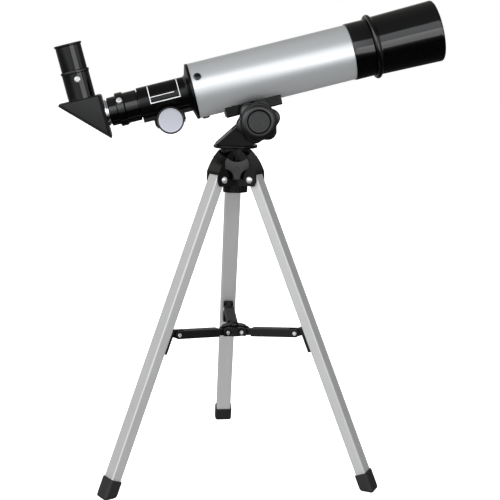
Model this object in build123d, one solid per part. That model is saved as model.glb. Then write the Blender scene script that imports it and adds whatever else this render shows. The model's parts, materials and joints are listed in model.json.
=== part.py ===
from build123d import *
from math import asin, cos, pi, radians, sin, sqrt, tan, degrees
import os

# All sizes in millimetres. +Z is up, the floor is Z = 0, and the pan axis is the Z axis.
# The optical tube lies in the XZ plane with its objective towards +X.

# Optical tube, measured along its own axis from the point above the pan axis
TUBE_AXIS_HEIGHT = 419.1
TUBE_TILT = 14.2
TUBE_R = 28.5
TUBE_WALL = 1.2
TUBE_REAR = -45.5
TUBE_FRONT = 122.0
SCREW_X = -39.0
SCREW_ANGLES = (30, 150, 270)
TUBE_SCREW_R = 1.5
TUBE_SCREW_HEAD_R = 3.8

# Objective end
LENS_R = 25.0
CELL_COLLAR_R = 29.4
CELL_COLLAR_FRONT = 143.4
CELL_NECK_R = 27.9
CELL_FRONT = 162.0
BEAD_R = 33.6
BEAD_FRONT = 148.6
SHIELD_FRONT = 216.0
SHIELD_REAR_R = 30.2
SHIELD_FRONT_R = 31.9
SHIELD_BORE_R = 28.8
CAP_BORE_R = 29.7

# Focuser
HOUSING_R = 17.0
HOUSING_REAR = -102.4
DRAW_R = 13.5
RUN_GAP = 0.06
BARREL_R = 12.25
BARREL_SOCKET_R = 12.32
DRAW_FRONT = -24.0
DRAW_REAR = -134.4
COLLAR_FRONT = -103.3
SHAFT_X = -75.8
SHAFT_Z = -21.6
SHAFT_R = 2.0
SHAFT_HALF = 28.6
TOOTH_MODULE = 0.9
PINION_TEETH = 12
PINION_HALF = 2.7
KNOB_R = 14.0
KNOB_IN = 15.6
KNOB_OUT = 27.4

# Diagonal and eyepiece
DIAG_TOP = 20.0
DIAG_RIGHT = -138.0
DIAG_HALF = 15.0
DIAG_WALL = 2.2
DIAG_SLOPE = -161.8
MIRROR_SLOPE = -157.9
HOLDER_X = -157.9
HOLDER_R = 13.9
HOLDER_TOP = 49.2
EYE_BODY_R = 13.2
EYE_TOP = 76.6

# Altitude and pan
PIVOT_X = 20.9
PIVOT_Z = 378.7
BOLT_R = 3.0
EAR_R = 9.2
EAR_HALF = 12.6
LUG_R = 9.3
LUG_HALF = 5.5
SADDLE_HALF = 16.0
SADDLE_BOTTOM = -34.2
SADDLE_REAR = -18.9
SADDLE_FRONT = 40.0
FLANGE_BOTTOM = 349.9
FLANGE_TOP = 353.2
FLANGE_R = 23.0
SPIGOT_R = 8.0
GRIP_R = 23.2
GRIP_LOBES = 6
LOBE_OUT = 14.6
GRIP_BACK = -19.9

# Tripod
LEG_AZIMUTHS = {"back": 90, "left": 210, "right": 330}
SPLAY = 22.8
LEG_PIVOT_R = 21.2
LEG_PIVOT_Z = 318.0
LEG_HALF_W = 8.4
LEG_OUT = 7.8
LEG_IN = 3.2
LEG_WALL = 1.0
LEG_TOP = -2.5
FOOT_TOP = 326.4
FOOT_WALL = 1.5
CROWN_TOP = 349.6
CROWN_BASE = 303.5
BOSS_R = 12.9
CHEEK_IN = 8.75
CHEEK_OUT = 11.3
CHEEK_BASE = 311.4
WEB_FACE = 20.2
ROOF_EDGE = 323.7
PIN_R = 2.0
BRACKET_S = 166.5
BRACKET_PIVOT_N = -14.4
HUB_PIVOT_R = 11.65
HUB_PIVOT_Z = 153.1
ARM_HALF_W = 5.5
ARM_HALF_H = 4.3
TONGUE_HALF = 2.8
HUB_BASE = 149.4
HUB_TOP = 158.4


def in_tube(shape):
    """Moves a shape from the tube's own frame, X along the tube, to its tilted place."""
    return Pos(0, 0, TUBE_AXIS_HEIGHT) * Rot(0, -TUBE_TILT, 0) * shape


def rod_x(x0, x1, r):
    return Pos((x0 + x1) / 2, 0, 0) * Rot(0, 90, 0) * Cylinder(r, x1 - x0)


def rod_y(x, z, y0, y1, r):
    return Pos(x, (y0 + y1) / 2, z) * Rot(90, 0, 0) * Cylinder(r, y1 - y0)


def rod_z(x, y, z0, z1, r):
    return Pos(x, y, (z0 + z1) / 2) * Cylinder(r, z1 - z0)


def slab(x0, x1, y0, y1, z0, z1):
    return Pos((x0 + x1) / 2, (y0 + y1) / 2, (z0 + z1) / 2) * Box(x1 - x0, y1 - y0, z1 - z0)


def turned_x(points):
    """Solid of revolution about X from (x, radius) points."""
    face = make_face(Polyline(*[(x, r) for x, r in points], close=True))
    return revolve(face, Axis.X)


def turned_z(points):
    """Solid of revolution about Z from (radius, z) points."""
    wire = Polyline(*[(r, 0, z) for r, z in points], close=True)
    return revolve(make_face(wire), Axis.Z)


def plate_xz(points, y0, y1):
    """Flat plate in the XZ plane from (x, z) points, between two Y values."""
    wire = Polyline(*[(x, y0, z) for x, z in points], close=True)
    return extrude(make_face(wire), amount=y1 - y0, dir=(0, 1, 0))


def radial_rod(x, angle, r0, r1, r):
    """Round rod at station x pointing out of the tube, angle up from the near (-Y) side."""
    rod = Pos(0, 0, (r0 + r1) / 2) * Cylinder(r, r1 - r0)
    return Pos(x, 0, 0) * Rot(90 - angle, 0, 0) * rod


def sag(radius, height):
    return radius - sqrt(radius * radius - height * height)


def lens(x_rear, x_front, rear_radius, front_radius, half_height):
    """Round lens about X. A positive radius bulges towards +X, a negative one towards -X."""
    def bulge(x, radius, h):
        side = 1 if radius > 0 else -1
        return x - side * sag(abs(radius), h)
    h = half_height

    def face(x, radius):
        return ThreePointArc((x, 0), (bulge(x, radius, h / 2), h / 2), (bulge(x, radius, h), h))
    rear = face(x_rear, rear_radius)
    front = face(x_front, front_radius)
    rim = Line(rear @ 1, front @ 1)
    axis = Line((x_rear, 0), (x_front, 0))
    return revolve(make_face([rear, rim, front, axis]), Axis.X)


# ---- optical tube ----

def main_tube():
    tube = rod_x(TUBE_REAR, TUBE_FRONT, TUBE_R)
    tube -= rod_x(TUBE_REAR - 1, TUBE_FRONT + 1, TUBE_R - TUBE_WALL)
    for angle in SCREW_ANGLES:
        tube -= radial_rod(SCREW_X, angle, 24, 32, TUBE_SCREW_R + 0.3)
    for x in (10.4 - 16, 10.4 + 16):
        tube -= radial_rod(x, 270, 24, 32, 2.3)
    return tube


def outer_rim(head):
    """Edges of a radial screw head that lie furthest from the tube's axis."""
    return head.edges().group_by(lambda e: Vector(0, e.center().Y, e.center().Z).length)[-1]


def tube_screws():
    screws = []
    for angle in SCREW_ANGLES:
        shank = radial_rod(SCREW_X, angle, 25.2, TUBE_R + 0.1, TUBE_SCREW_R)
        head = radial_rod(SCREW_X, angle, TUBE_R + 0.05, TUBE_R + 2.1, TUBE_SCREW_HEAD_R)
        head = fillet(outer_rim(head), 1.2)
        screws.append(shank + head)
    return Compound(screws)


def lens_cell():
    bore = [(108, 24.0), (140, 24.0), (140, LENS_R + 0.1), (CELL_FRONT, LENS_R + 0.1)]
    outer = [
        (CELL_FRONT, CELL_NECK_R),
        (CELL_COLLAR_FRONT, CELL_NECK_R),
        (CELL_COLLAR_FRONT, CELL_COLLAR_R),
        (TUBE_FRONT + 0.6, CELL_COLLAR_R),
        (TUBE_FRONT, CELL_COLLAR_R - 0.6),
        (TUBE_FRONT, TUBE_R - TUBE_WALL - 0.05),
        (108, TUBE_R - TUBE_WALL - 0.05),
    ]
    return turned_x(bore + outer)


def flint_lens():
    return lens(141.6, 145.4, 420, -150, LENS_R)


def crown_lens():
    return lens(146.0, 153.0, -148, 165, LENS_R)


def lens_spacer():
    x0 = 145.4 + sag(150, LENS_R) + 0.02
    x1 = 146.0 + sag(148, 23.6) - 0.03
    return turned_x([(x0, 23.6), (x1, 23.6), (x1, LENS_R + 0.05), (x0, LENS_R + 0.05)])


def lens_ring():
    return turned_x([(151.45, 23.3), (155.5, 23.6), (155.5, LENS_R + 0.05), (151.45, LENS_R + 0.05)])


def light_baffle():
    r = TUBE_R - TUBE_WALL - 0.05
    return turned_x([(36, r), (46, r), (46, r - 1.2), (37.4, r - 1.2), (37.4, 17), (36, 17)])


def dew_shield():
    inner = [
        (143.7, CELL_NECK_R + RUN_GAP),
        (160.0, CELL_NECK_R + RUN_GAP),
        (162.0, SHIELD_BORE_R),
        (206.0, CAP_BORE_R),
        (SHIELD_FRONT - 0.6, CAP_BORE_R),
        (SHIELD_FRONT, CAP_BORE_R + 0.5),
    ]
    outer = [
        (SHIELD_FRONT, SHIELD_FRONT_R - 0.6),
        (SHIELD_FRONT - 0.7, SHIELD_FRONT_R),
        (SHIELD_FRONT - 3.6, SHIELD_FRONT_R),
        (BEAD_FRONT + 1.0, SHIELD_REAR_R),
        (BEAD_FRONT, BEAD_R - 1.6),
        (BEAD_FRONT - 0.9, BEAD_R - 0.4),
        (BEAD_FRONT - 2.4, BEAD_R),
        (BEAD_FRONT - 3.9, BEAD_R - 0.4),
        (143.7, BEAD_R - 1.8),
    ]
    return turned_x(inner + outer)


# ---- focuser ----

def rear_cell():
    spigot_r = TUBE_R - TUBE_WALL - 0.05
    bore_r = DRAW_R + RUN_GAP
    shell = turned_x([
        (HOUSING_REAR, bore_r),
        (HOUSING_REAR, HOUSING_R),
        (-53.0, HOUSING_R),
        (-51.0, 18.6),
        (-48.4, 27.8),
        (-48.0, TUBE_R + 0.4),
        (TUBE_REAR, TUBE_R + 0.4),
        (TUBE_REAR, spigot_r),
        (-30.0, spigot_r),
        (-30.0, 24.9),
        (-43.6, 24.9),
        (-46.0, 20.0),
        (-46.0, HOUSING_R - 0.4),
        (-36.0, HOUSING_R - 0.4),
        (-36.0, bore_r),
    ])
    block = slab(HOUSING_REAR, -48.2, -8.5, 8.5, -18.9, -8)
    body = shell + block
    body -= rod_x(HOUSING_REAR - 1, -35, bore_r)
    body -= slab(HOUSING_REAR - 1, -29, -3.2, 3.2, -17.6, -10)
    body -= rod_y(SHAFT_X, SHAFT_Z, -3.3, 3.3, 6.8)
    for angle in SCREW_ANGLES:
        body -= radial_rod(SCREW_X, angle, 24, 28.4, TUBE_SCREW_R + 0.02)
    for x, y in COVER_SCREWS:
        body -= rod_z(x, y, -20, -13.6, 1.22)
    return body


COVER_SCREWS = [(x, y) for x in (-88.6, -63.0) for y in (-5.9, 5.9)]


def pinion_cover():
    side = [(-92.0, -18.95), (-92.0, -25.0), (-88.5, -28.6), (-63.5, -28.6), (-59.8, -25.0), (-59.8, -18.95)]
    cover = plate_xz(side, -8.4, 8.4)
    cover -= rod_y(SHAFT_X, SHAFT_Z, -3.3, 3.3, 6.8)
    cover -= rod_y(SHAFT_X, SHAFT_Z, -9, 9, SHAFT_R + RUN_GAP)
    for x, y in COVER_SCREWS:
        cover -= rod_z(x, y, -30, -18, 1.3)
        cover -= rod_z(x, y, -29.2, -26.2, 2.4)
    return cover


def pinion_cover_screws():
    screws = []
    for x, y in COVER_SCREWS:
        screws.append(rod_z(x, y, -26.6, -14.2, 1.2) + rod_z(x, y, -28.2, -26.2, 2.2))
    return Compound(screws)


def rack_teeth():
    """Straight-sided rack teeth that stand down from the draw tube, thinned for backlash."""
    pitch = pi * TOOTH_MODULE
    line = SHAFT_Z + TOOTH_MODULE * PINION_TEETH / 2
    tip = line - 0.6
    root = line + 1.15
    half = pitch / 4 - 0.13
    slope = tan(radians(20))
    points = [(-97.0, root + 2.3), (-97.0, root)]
    first = int((-96.0 - SHAFT_X) / pitch)
    last = int((DRAW_FRONT - 2.0 - SHAFT_X) / pitch)
    for k in range(first, last):
        x = SHAFT_X + (k + 0.5) * pitch
        points.append((x - half - 1.15 * slope, root))
        points.append((x - half + 0.6 * slope, tip))
        points.append((x + half - 0.6 * slope, tip))
        points.append((x + half + 1.15 * slope, root))
    points.append((DRAW_FRONT, root))
    points.append((DRAW_FRONT, root + 2.3))
    return plate_xz(points, -PINION_HALF, PINION_HALF)


def draw_tube():
    tube = turned_x([
        (DRAW_FRONT, BARREL_R + 0.1),
        (DRAW_FRONT, DRAW_R),
        (COLLAR_FRONT, DRAW_R),
        (COLLAR_FRONT, 15.2),
        (COLLAR_FRONT - 0.6, 15.8),
        (-116.8, 15.8),
        (-117.6, 16.6),
        (-118.2, 17.3),
        (-124.8, 17.3),
        (-125.4, 16.6),
        (-126.0, 14.7),
        (DRAW_REAR + 0.8, 14.6),
        (DRAW_REAR, 13.8),
        (DRAW_REAR, BARREL_SOCKET_R),
        (-108.0, BARREL_SOCKET_R),
        (-108.0, 11.4),
        (-104.0, 11.4),
        (-102.0, BARREL_R + 0.1),
    ])
    tube += rack_teeth() - rod_x(-98, DRAW_FRONT + 1, DRAW_R - 0.5)
    tube -= radial_rod(-121.4, 30, 11, 19, 1.6)
    return tube


def collar_thumb_screw():
    shank = radial_rod(-121.4, 30, 12.62, 17.7, 1.5)
    head = radial_rod(-121.4, 30, 17.62, 21.2, 3.2)
    head = fillet(outer_rim(head), 0.9)
    return shank + head


def focus_shaft():
    return rod_y(SHAFT_X, SHAFT_Z, -SHAFT_HALF + 3, SHAFT_HALF - 3, SHAFT_R)


def pinion():
    """Spur pinion with involute flanks, thinned for backlash, one gap of the rack over its centre."""
    pitch_r = TOOTH_MODULE * PINION_TEETH / 2
    base_r = pitch_r * cos(radians(20))
    tip_r = pitch_r + TOOTH_MODULE
    root_r = pitch_r - 1.15
    inv20 = tan(radians(20)) - radians(20)
    half = pi / (2 * PINION_TEETH) - 0.13 / pitch_r
    flank = []
    for i in range(7):
        r = base_r + (tip_r - base_r) * i / 6
        a = sqrt(max((r / base_r) ** 2 - 1, 0))
        flank.append((r, half + inv20 - (a - (pi / 2 - asin(min(base_r / r, 1))))))
    points = []
    for k in range(PINION_TEETH):
        mid = 2 * pi * k / PINION_TEETH + pi / 2
        side = [(root_r, flank[0][1] + 0.02)] + flank
        for r, a in side:
            points.append((r * cos(mid - a), r * sin(mid - a)))
        for r, a in reversed(side):
            points.append((r * cos(mid + a), r * sin(mid + a)))
    gear = plate_xz([(SHAFT_X + x, SHAFT_Z + z) for x, z in points], -PINION_HALF, PINION_HALF)
    return gear - rod_y(SHAFT_X, SHAFT_Z, -4, 4, SHAFT_R + 0.01)


def focus_knobs():
    knobs = []
    for side in (-1, 1):
        y = sorted((side * KNOB_IN, side * KNOB_OUT))
        hub = sorted((side * 8.85, side * (KNOB_IN + 1)))
        knob = rod_y(SHAFT_X, SHAFT_Z, y[0], y[1], KNOB_R)
        knob = chamfer(knob.edges(), 0.8)
        knob += rod_y(SHAFT_X, SHAFT_Z, hub[0], hub[1], 5.0)
        recess = sorted((side * (KNOB_OUT - 1.2), side * (KNOB_OUT + 1)))
        knob -= rod_y(SHAFT_X, SHAFT_Z, recess[0], recess[1], KNOB_R - 1.2)
        hole = sorted((side * 8, side * (SHAFT_HALF - 2.9)))
        knob -= rod_y(SHAFT_X, SHAFT_Z, hole[0], hole[1], SHAFT_R + 0.01)
        knobs.append(knob)
    return Compound(knobs)


def focus_knob_caps():
    caps = []
    for side in (-1, 1):
        y = sorted((side * (KNOB_OUT - 1.18), side * (KNOB_OUT + 0.5)))
        cap = rod_y(SHAFT_X, SHAFT_Z, y[0], y[1], KNOB_R - 1.25)
        caps.append(cap)
    return Compound(caps)


# ---- diagonal and eyepiece ----

def diagonal_body():
    a = (DIAG_SLOPE - DIAG_TOP, DIAG_TOP)
    b = (DIAG_RIGHT, DIAG_TOP)
    c = (DIAG_RIGHT, DIAG_SLOPE - DIAG_RIGHT)
    block = plate_xz([a, b, c], -DIAG_HALF, DIAG_HALF)
    corner = block.edges().filter_by(Axis.Y).sort_by(lambda e: e.center().X + e.center().Z)[-1]
    block = fillet(corner, 2.5)
    block += rod_z(HOLDER_X, 0, DIAG_TOP - 1, HOLDER_TOP - 2.6, HOLDER_R)
    block += rod_z(HOLDER_X, 0, HOLDER_TOP - 2.6, HOLDER_TOP, HOLDER_R + 0.6)
    top = DIAG_TOP - DIAG_WALL
    right = DIAG_RIGHT - DIAG_WALL
    slope = DIAG_SLOPE - 1
    inside = DIAG_HALF - DIAG_WALL
    cavity = plate_xz([(slope - top, top), (right, top), (right, slope - right)], -inside, inside)
    block -= cavity
    block -= rod_x(DIAG_RIGHT - 4, DIAG_RIGHT + 2, BARREL_R + 0.01)
    block -= rod_z(HOLDER_X, 0, DIAG_TOP - 4, HOLDER_TOP + 1, 11.3)
    block -= rod_z(HOLDER_X, 0, DIAG_TOP + 2, HOLDER_TOP + 1, BARREL_SOCKET_R)
    block -= rod_y(HOLDER_X + 1.6, 40.2, -18, -10, 1.6)
    return block


def diagonal_cover():
    d = 1.8 * sqrt(2)
    s0 = DIAG_SLOPE - 0.01
    x_left = DIAG_SLOPE - DIAG_TOP
    return plate_xz([
        (x_left, s0 - x_left),
        (DIAG_RIGHT, s0 - DIAG_RIGHT),
        (DIAG_RIGHT - 0.5, s0 - d - DIAG_RIGHT + 0.5),
        (x_left - 0.7, s0 - d - x_left + 0.7),
    ], -DIAG_HALF, DIAG_HALF)


def diagonal_mirror():
    half = 15.5
    back = DIAG_SLOPE + 0.02
    corners = []
    for slope, u in ((MIRROR_SLOPE, half), (MIRROR_SLOPE, -half), (back, -half), (back, half)):
        shift = (slope - MIRROR_SLOPE) / 2
        corners.append((HOLDER_X + u + shift, -u + shift))
    return plate_xz(corners, -12.6, 12.6)


def diagonal_barrel():
    barrel = rod_x(DIAG_RIGHT - DIAG_WALL, -110.5, BARREL_R)
    barrel += rod_x(DIAG_RIGHT + 0.02, DIAG_RIGHT + 2.2, BARREL_R + 1.1)
    return barrel - rod_x(DIAG_RIGHT - 5, -109, BARREL_R - 1.05)


def holder_thumb_screw():
    x = HOLDER_X + 1.6
    head = rod_y(x, 40.2, -18.2, -14.4, 3.3)
    head = fillet(head.edges().sort_by(Axis.Y)[0], 0.9)
    return head + rod_y(x, 40.2, -14.45, -12.62, 1.5)


def eyepiece_barrel():
    return rod_z(HOLDER_X, 0, 24, 52.4, BARREL_R) - rod_z(HOLDER_X, 0, 23, 54, 11.3)


def eyepiece_body():
    body = rod_z(HOLDER_X, 0, HOLDER_TOP + 0.35, EYE_TOP - 1.8, EYE_BODY_R)
    body += rod_z(HOLDER_X, 0, EYE_TOP - 1.8, EYE_TOP, EYE_BODY_R + 0.9)
    body -= rod_z(HOLDER_X, 0, HOLDER_TOP, 52.5, BARREL_R + 0.01)
    body -= rod_z(HOLDER_X, 0, 52, 64, 9.1)
    body -= rod_z(HOLDER_X, 0, 63, 72.4, 6.6)
    body -= Pos(HOLDER_X, 0, (72 + EYE_TOP) / 2 + 0.2) * Cone(4.6, 8.6, EYE_TOP - 71.6)
    return body


def upright_lens(z_low, z_high, low_radius, high_radius, r):
    return Pos(HOLDER_X, 0, 0) * Rot(0, -90, 0) * lens(z_low, z_high, low_radius, high_radius, r)


def eye_lens():
    return upright_lens(68.0, 71.4, -400, 16, 6.5)


def field_lens():
    return upright_lens(54.2, 58.4, -400, 26, 9.0)


def field_stop():
    return rod_z(HOLDER_X, 0, 47, 48.2, 11.28) - rod_z(HOLDER_X, 0, 46, 49, 8.0)


# ---- saddle, head and altitude knob ----

def tube_saddle():
    block = slab(SADDLE_REAR, SADDLE_FRONT, -SADDLE_HALF, SADDLE_HALF, SADDLE_BOTTOM, -17)
    block = chamfer(block.edges().filter_by(Axis.X).group_by(Axis.Z)[0], 1.0)
    block += slab(10.4 - LUG_R, 10.4 + LUG_R, -LUG_HALF, LUG_HALF, -44.3, -32)
    block += rod_y(10.4, -44.3, -LUG_HALF, LUG_HALF, LUG_R)
    block -= rod_x(SADDLE_REAR - 2, SADDLE_FRONT + 2, TUBE_R + 0.02)
    block -= rod_y(10.4, -44.3, -9, 9, BOLT_R + RUN_GAP)
    for x in (10.4 - 16, 10.4 + 16):
        block -= radial_rod(x, 270, 26, 33.4, 2.02)
    return block


def saddle_screws():
    screws = []
    for x in (10.4 - 16, 10.4 + 16):
        screws.append(radial_rod(x, 270, 26.9, 33.0, 2.0) + radial_rod(x, 270, 24.4, 26.95, 3.9))
    return Compound(screws)


def pan_head():
    reach = sqrt((PIVOT_X + 21.6) ** 2 + (PIVOT_Z - FLANGE_TOP) ** 2)
    rise = degrees(asin((PIVOT_Z - FLANGE_TOP) / reach)) + degrees(asin(EAR_R / reach))
    touch = (PIVOT_X - EAR_R * sin(radians(rise)), PIVOT_Z + EAR_R * cos(radians(rise)))
    outline = [
        (-21.6, FLANGE_TOP),
        touch,
        (PIVOT_X, PIVOT_Z),
        (PIVOT_X + EAR_R, PIVOT_Z),
        (PIVOT_X + EAR_R - 1.5, PIVOT_Z - 10),
        (17.5, FLANGE_TOP),
        (17.5, FLANGE_TOP - 1),
        (-21.6, FLANGE_TOP - 1),
    ]
    body = plate_xz(outline, -EAR_HALF, EAR_HALF)
    body += rod_y(PIVOT_X, PIVOT_Z, -EAR_HALF, EAR_HALF, EAR_R)
    plan_r = FLANGE_R - 1.2
    plan = [(0, FLANGE_TOP - 2), (plan_r, FLANGE_TOP - 2), (plan_r, FLANGE_TOP), (60, 400), (0, 400)]
    body = body & turned_z(plan)
    flange = rod_z(0, 0, FLANGE_BOTTOM, FLANGE_TOP, FLANGE_R)
    flange = fillet(flange.edges(), 1.1)
    body += flange
    body -= slab(-30, 60, -LUG_HALF - 0.3, LUG_HALF + 0.3, 368.6, 400)
    body += rod_z(0, 0, 321.7, FLANGE_BOTTOM + 1, SPIGOT_R)
    body -= rod_z(0, 0, 321, 346, BOLT_R + 0.01)
    body -= rod_y(PIVOT_X, PIVOT_Z, -20, 20, BOLT_R + 0.01)
    body -= hexagon_y(5.85, EAR_HALF + 1, 4)
    return body


def hexagon_y(r, y, depth):
    """Six-sided bar on the altitude axis, from y back towards -Y."""
    outline = Pos(PIVOT_X, PIVOT_Z, 0) * RegularPolygon(r, 6)
    return extrude(Plane.XZ.offset(-y) * outline, amount=depth)


def altitude_bolt():
    head = hexagon_y(5.75, EAR_HALF + 1.2, 4)
    return head + rod_y(PIVOT_X, PIVOT_Z, -31.0, EAR_HALF - 1, BOLT_R)


def knob_turned(points):
    """Solid of revolution about the altitude axis from (radius, y) points."""
    wire = Polyline(*[(PIVOT_X + r, y, PIVOT_Z) for r, y in points], close=True)
    return revolve(make_face(wire), Axis((PIVOT_X, 0, PIVOT_Z), (0, 1, 0)))


def altitude_knob():
    y_back = -EAR_HALF - 0.3
    boss = rod_y(PIVOT_X, PIVOT_Z, GRIP_BACK - 0.1, y_back, 8.6)
    grip = rod_y(PIVOT_X, PIVOT_Z, -30.5, GRIP_BACK, 19.9)
    for k in range(GRIP_LOBES):
        a = radians(60 * k + 16)
        x = PIVOT_X + LOBE_OUT * cos(a)
        z = PIVOT_Z + LOBE_OUT * sin(a)
        grip += rod_y(x, z, -30.5, GRIP_BACK, GRIP_R - LOBE_OUT)
    grip_side = [
        (0, GRIP_BACK),
        (GRIP_R, GRIP_BACK),
        (GRIP_R, -28.3),
        (GRIP_R - 0.7, -29.7),
        (GRIP_R - 2.4, -30.5),
        (0, -30.5),
    ]
    grip = grip & knob_turned(grip_side)
    crown_side = [
        (0, GRIP_BACK),
        (18.6, GRIP_BACK),
        (18.6, -30.8),
        (17.6, -33.4),
        (15.8, -35.1),
        (13.6, -35.8),
        (0, -35.8),
    ]
    knob = boss + grip + knob_turned(crown_side)
    knob -= rod_y(PIVOT_X, PIVOT_Z, -38, -33.6, 11.9)
    knob -= rod_y(PIVOT_X, PIVOT_Z, -31.4, -10, BOLT_R + RUN_GAP)
    return knob


def altitude_knob_cap():
    cap = rod_y(PIVOT_X, PIVOT_Z, -36.2, -33.62, 11.1)
    return fillet(cap.edges().sort_by(Axis.Y)[0], 0.8)


def pan_bolt():
    head = extrude(Pos(0, 0, 316.3) * RegularPolygon(5.7, 6), amount=4)
    return head + rod_z(0, 0, 320.0, 345.4, BOLT_R)


def pan_washer():
    return rod_z(0, 0, 320.32, 321.68, 9.2) - rod_z(0, 0, 319, 323, BOLT_R + 0.05)


# ---- tripod ----

def about_axis(shape, azimuth):
    """Turns a shape built with its leg towards +X to the leg's own azimuth."""
    return Rot(0, 0, azimuth) * shape


def on_leg(shape):
    """Moves a shape from the leg's own frame to its splayed place towards +X.

    In the leg's frame Z runs up the leg from the pivot, X is outwards and Y is across."""
    return Pos(LEG_PIVOT_R, 0, LEG_PIVOT_Z) * Rot(0, -SPLAY, 0) * shape


def crown():
    dome = Spline((12.6, 0, 347.8), (21.2, 0, 338.6), (28.3, 0, 325.6))
    lower = [(28.3, 0, 325.6), (28.6, 0, 317.0), (26.4, 0, CHEEK_BASE), (8, 0, CHEEK_BASE)]
    rest = Polyline(*lower, (8, 0, 347.8), (12.6, 0, 347.8))
    side = make_face([dome, rest])
    arm = extrude(side, amount=CHEEK_OUT, dir=(0, 1, 0), both=True)
    gap = slab(13.4, 40, -CHEEK_IN, CHEEK_IN, 300, ROOF_EDGE)
    edge = [(13.4, ROOF_EDGE - 1), (25.6, ROOF_EDGE - 1), (25.4, ROOF_EDGE + 1)]
    roof_in = edge + [(20.3, 335.4), (13.4, 343.0)]
    gap += plate_xz(roof_in, -CHEEK_IN, CHEEK_IN)
    body = rod_z(0, 0, 343.5, CROWN_TOP, 15.4) + rod_z(0, 0, CROWN_BASE, 345, BOSS_R)
    horns = [(0, -12.6, 338.5), (0, -9.8, 341.9), (0, 9.8, 341.9), (0, 12.6, 338.5)]
    outline = Polyline((0, -12.6, 318), *horns, (0, 12.6, 318), close=True)
    web = Pos(WEB_FACE - 2.2, 0, 0) * extrude(make_face(outline), amount=2.2, dir=(1, 0, 0))
    web -= Pos(WEB_FACE, 0, 351.6) * Rot(0, 90, 0) * Cylinder(14.6, 20)
    for side_y in (-13.4, 13.4):
        web -= Pos(WEB_FACE, side_y, 319.0) * Rot(0, 90, 0) * Cylinder(10.2, 20)
    web -= Pos(WEB_FACE, 0, 329.4) * Rot(0, 90, 0) * Cylinder(2.2, 1.2)
    web += slab(11, WEB_FACE - 1, -4.4, 4.4, 318, 334)
    for azimuth in (30, 150, 270):
        body += about_axis(web, azimuth)
    for azimuth in LEG_AZIMUTHS.values():
        body += about_axis(arm, azimuth)
    for azimuth in LEG_AZIMUTHS.values():
        body -= about_axis(gap, azimuth)
        body -= about_axis(rod_y(LEG_PIVOT_R, LEG_PIVOT_Z, -14, 14, PIN_R + 0.01), azimuth)
    body += rod_z(0, 0, CROWN_BASE, CROWN_TOP, BOSS_R)
    body -= rod_z(0, 0, CROWN_BASE - 1, 322.0, 9.7)
    body -= rod_z(0, 0, 320, CROWN_TOP + 1, SPIGOT_R + RUN_GAP)
    for k in range(18):
        a = radians(20 * k + 10)
        body -= rod_z((BOSS_R + 0.35) * cos(a), (BOSS_R + 0.35) * sin(a), CROWN_BASE + 1.6, 317.0, 0.9)
    return body


def pin_with_heads(x, z, half, r, head_r, head_h):
    pin = rod_y(x, z, -half - 0.1, half + 0.1, r)
    for side in (-1, 1):
        y = sorted((side * (half + 0.02), side * (half + head_h)))
        head = rod_y(x, z, y[0], y[1], head_r)
        outer = head.edges().sort_by(lambda e: side * e.center().Y)[-1]
        pin += fillet(outer, head_h * 0.6)
    return pin


def leg_pivot_pins():
    pin = pin_with_heads(LEG_PIVOT_R, LEG_PIVOT_Z, CHEEK_OUT, PIN_R, 3.6, 1.7)
    return Compound([about_axis(pin, azimuth) for azimuth in LEG_AZIMUTHS.values()])


def leg_bar(grow, z_low, z_high):
    """Box bar of the leg section, grown on all sides, between two heights along the leg."""
    bar = slab(-LEG_IN - grow, LEG_OUT + grow, -LEG_HALF_W - grow, LEG_HALF_W + grow, z_low, z_high)
    if grow > -0.5:
        bar = fillet(bar.edges().filter_by(Axis.Z), 1.1 + max(grow, 0) * 0.6)
    return bar


def floor_cut():
    return slab(-300, 600, -300, 300, -200, 0)


def leg(azimuth):
    bar = leg_bar(0, -360, -LEG_TOP) - leg_bar(-LEG_WALL, -361, 10)
    bar -= rod_y(0, 0, -12, 12, PIN_R + 0.4)
    low = slab(-300, 600, -300, 300, -200, 2.2)
    return about_axis(on_leg(bar) - low, azimuth)


def leg_plug(azimuth):
    wall = LEG_WALL + 0.05
    half = LEG_HALF_W - wall
    plug = slab(-LEG_IN + wall, LEG_OUT - wall, -half, half, -20, -LEG_TOP - 1.0)
    plug = fillet(plug.edges().group_by(Axis.Z)[-1].filter_by(Axis.Y), 1.0)
    plug -= rod_y(0, 0, -12, 12, PIN_R + RUN_GAP)
    return about_axis(on_leg(plug), azimuth)


def foot(azimuth):
    cap = leg_bar(FOOT_WALL, -370, -FOOT_TOP)
    cap = fillet(cap.edges().group_by(Axis.Z)[-1], 0.8)
    placed = on_leg(cap) - floor_cut()
    bottom = placed.faces().sort_by(Axis.Z)[0]
    placed = chamfer(bottom.edges(), 1.0)
    core = on_leg(leg_bar(0.02, -370, 0)) - slab(-300, 600, -300, 300, -200, 2.18)
    return about_axis(placed - core, azimuth)


def leg_bracket(azimuth):
    low = -BRACKET_S - 23.5
    plate = slab(-LEG_IN - 4.2, -LEG_IN - 0.02, -ARM_HALF_W, ARM_HALF_W, low, -BRACKET_S + 4.2)
    plate = fillet(plate.edges().filter_by(Axis.X), 1.5)
    lug = slab(BRACKET_PIVOT_N, -LEG_IN - 4.0, -2.85, 2.85, -BRACKET_S - 4.2, -BRACKET_S + 4.2)
    lug += rod_y(BRACKET_PIVOT_N, -BRACKET_S, -2.85, 2.85, 4.2)
    lug += plate
    lug -= rod_y(BRACKET_PIVOT_N, -BRACKET_S, -4, 4, 1.5 + RUN_GAP)
    return about_axis(on_leg(lug), azimuth)


def arm_pivot():
    """Outer pivot of a brace arm: radius from the pan axis and height."""
    s = sin(radians(SPLAY))
    c = cos(radians(SPLAY))
    r = LEG_PIVOT_R + BRACKET_S * s + BRACKET_PIVOT_N * c
    z = LEG_PIVOT_Z - BRACKET_S * c + BRACKET_PIVOT_N * s
    return r, z


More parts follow.
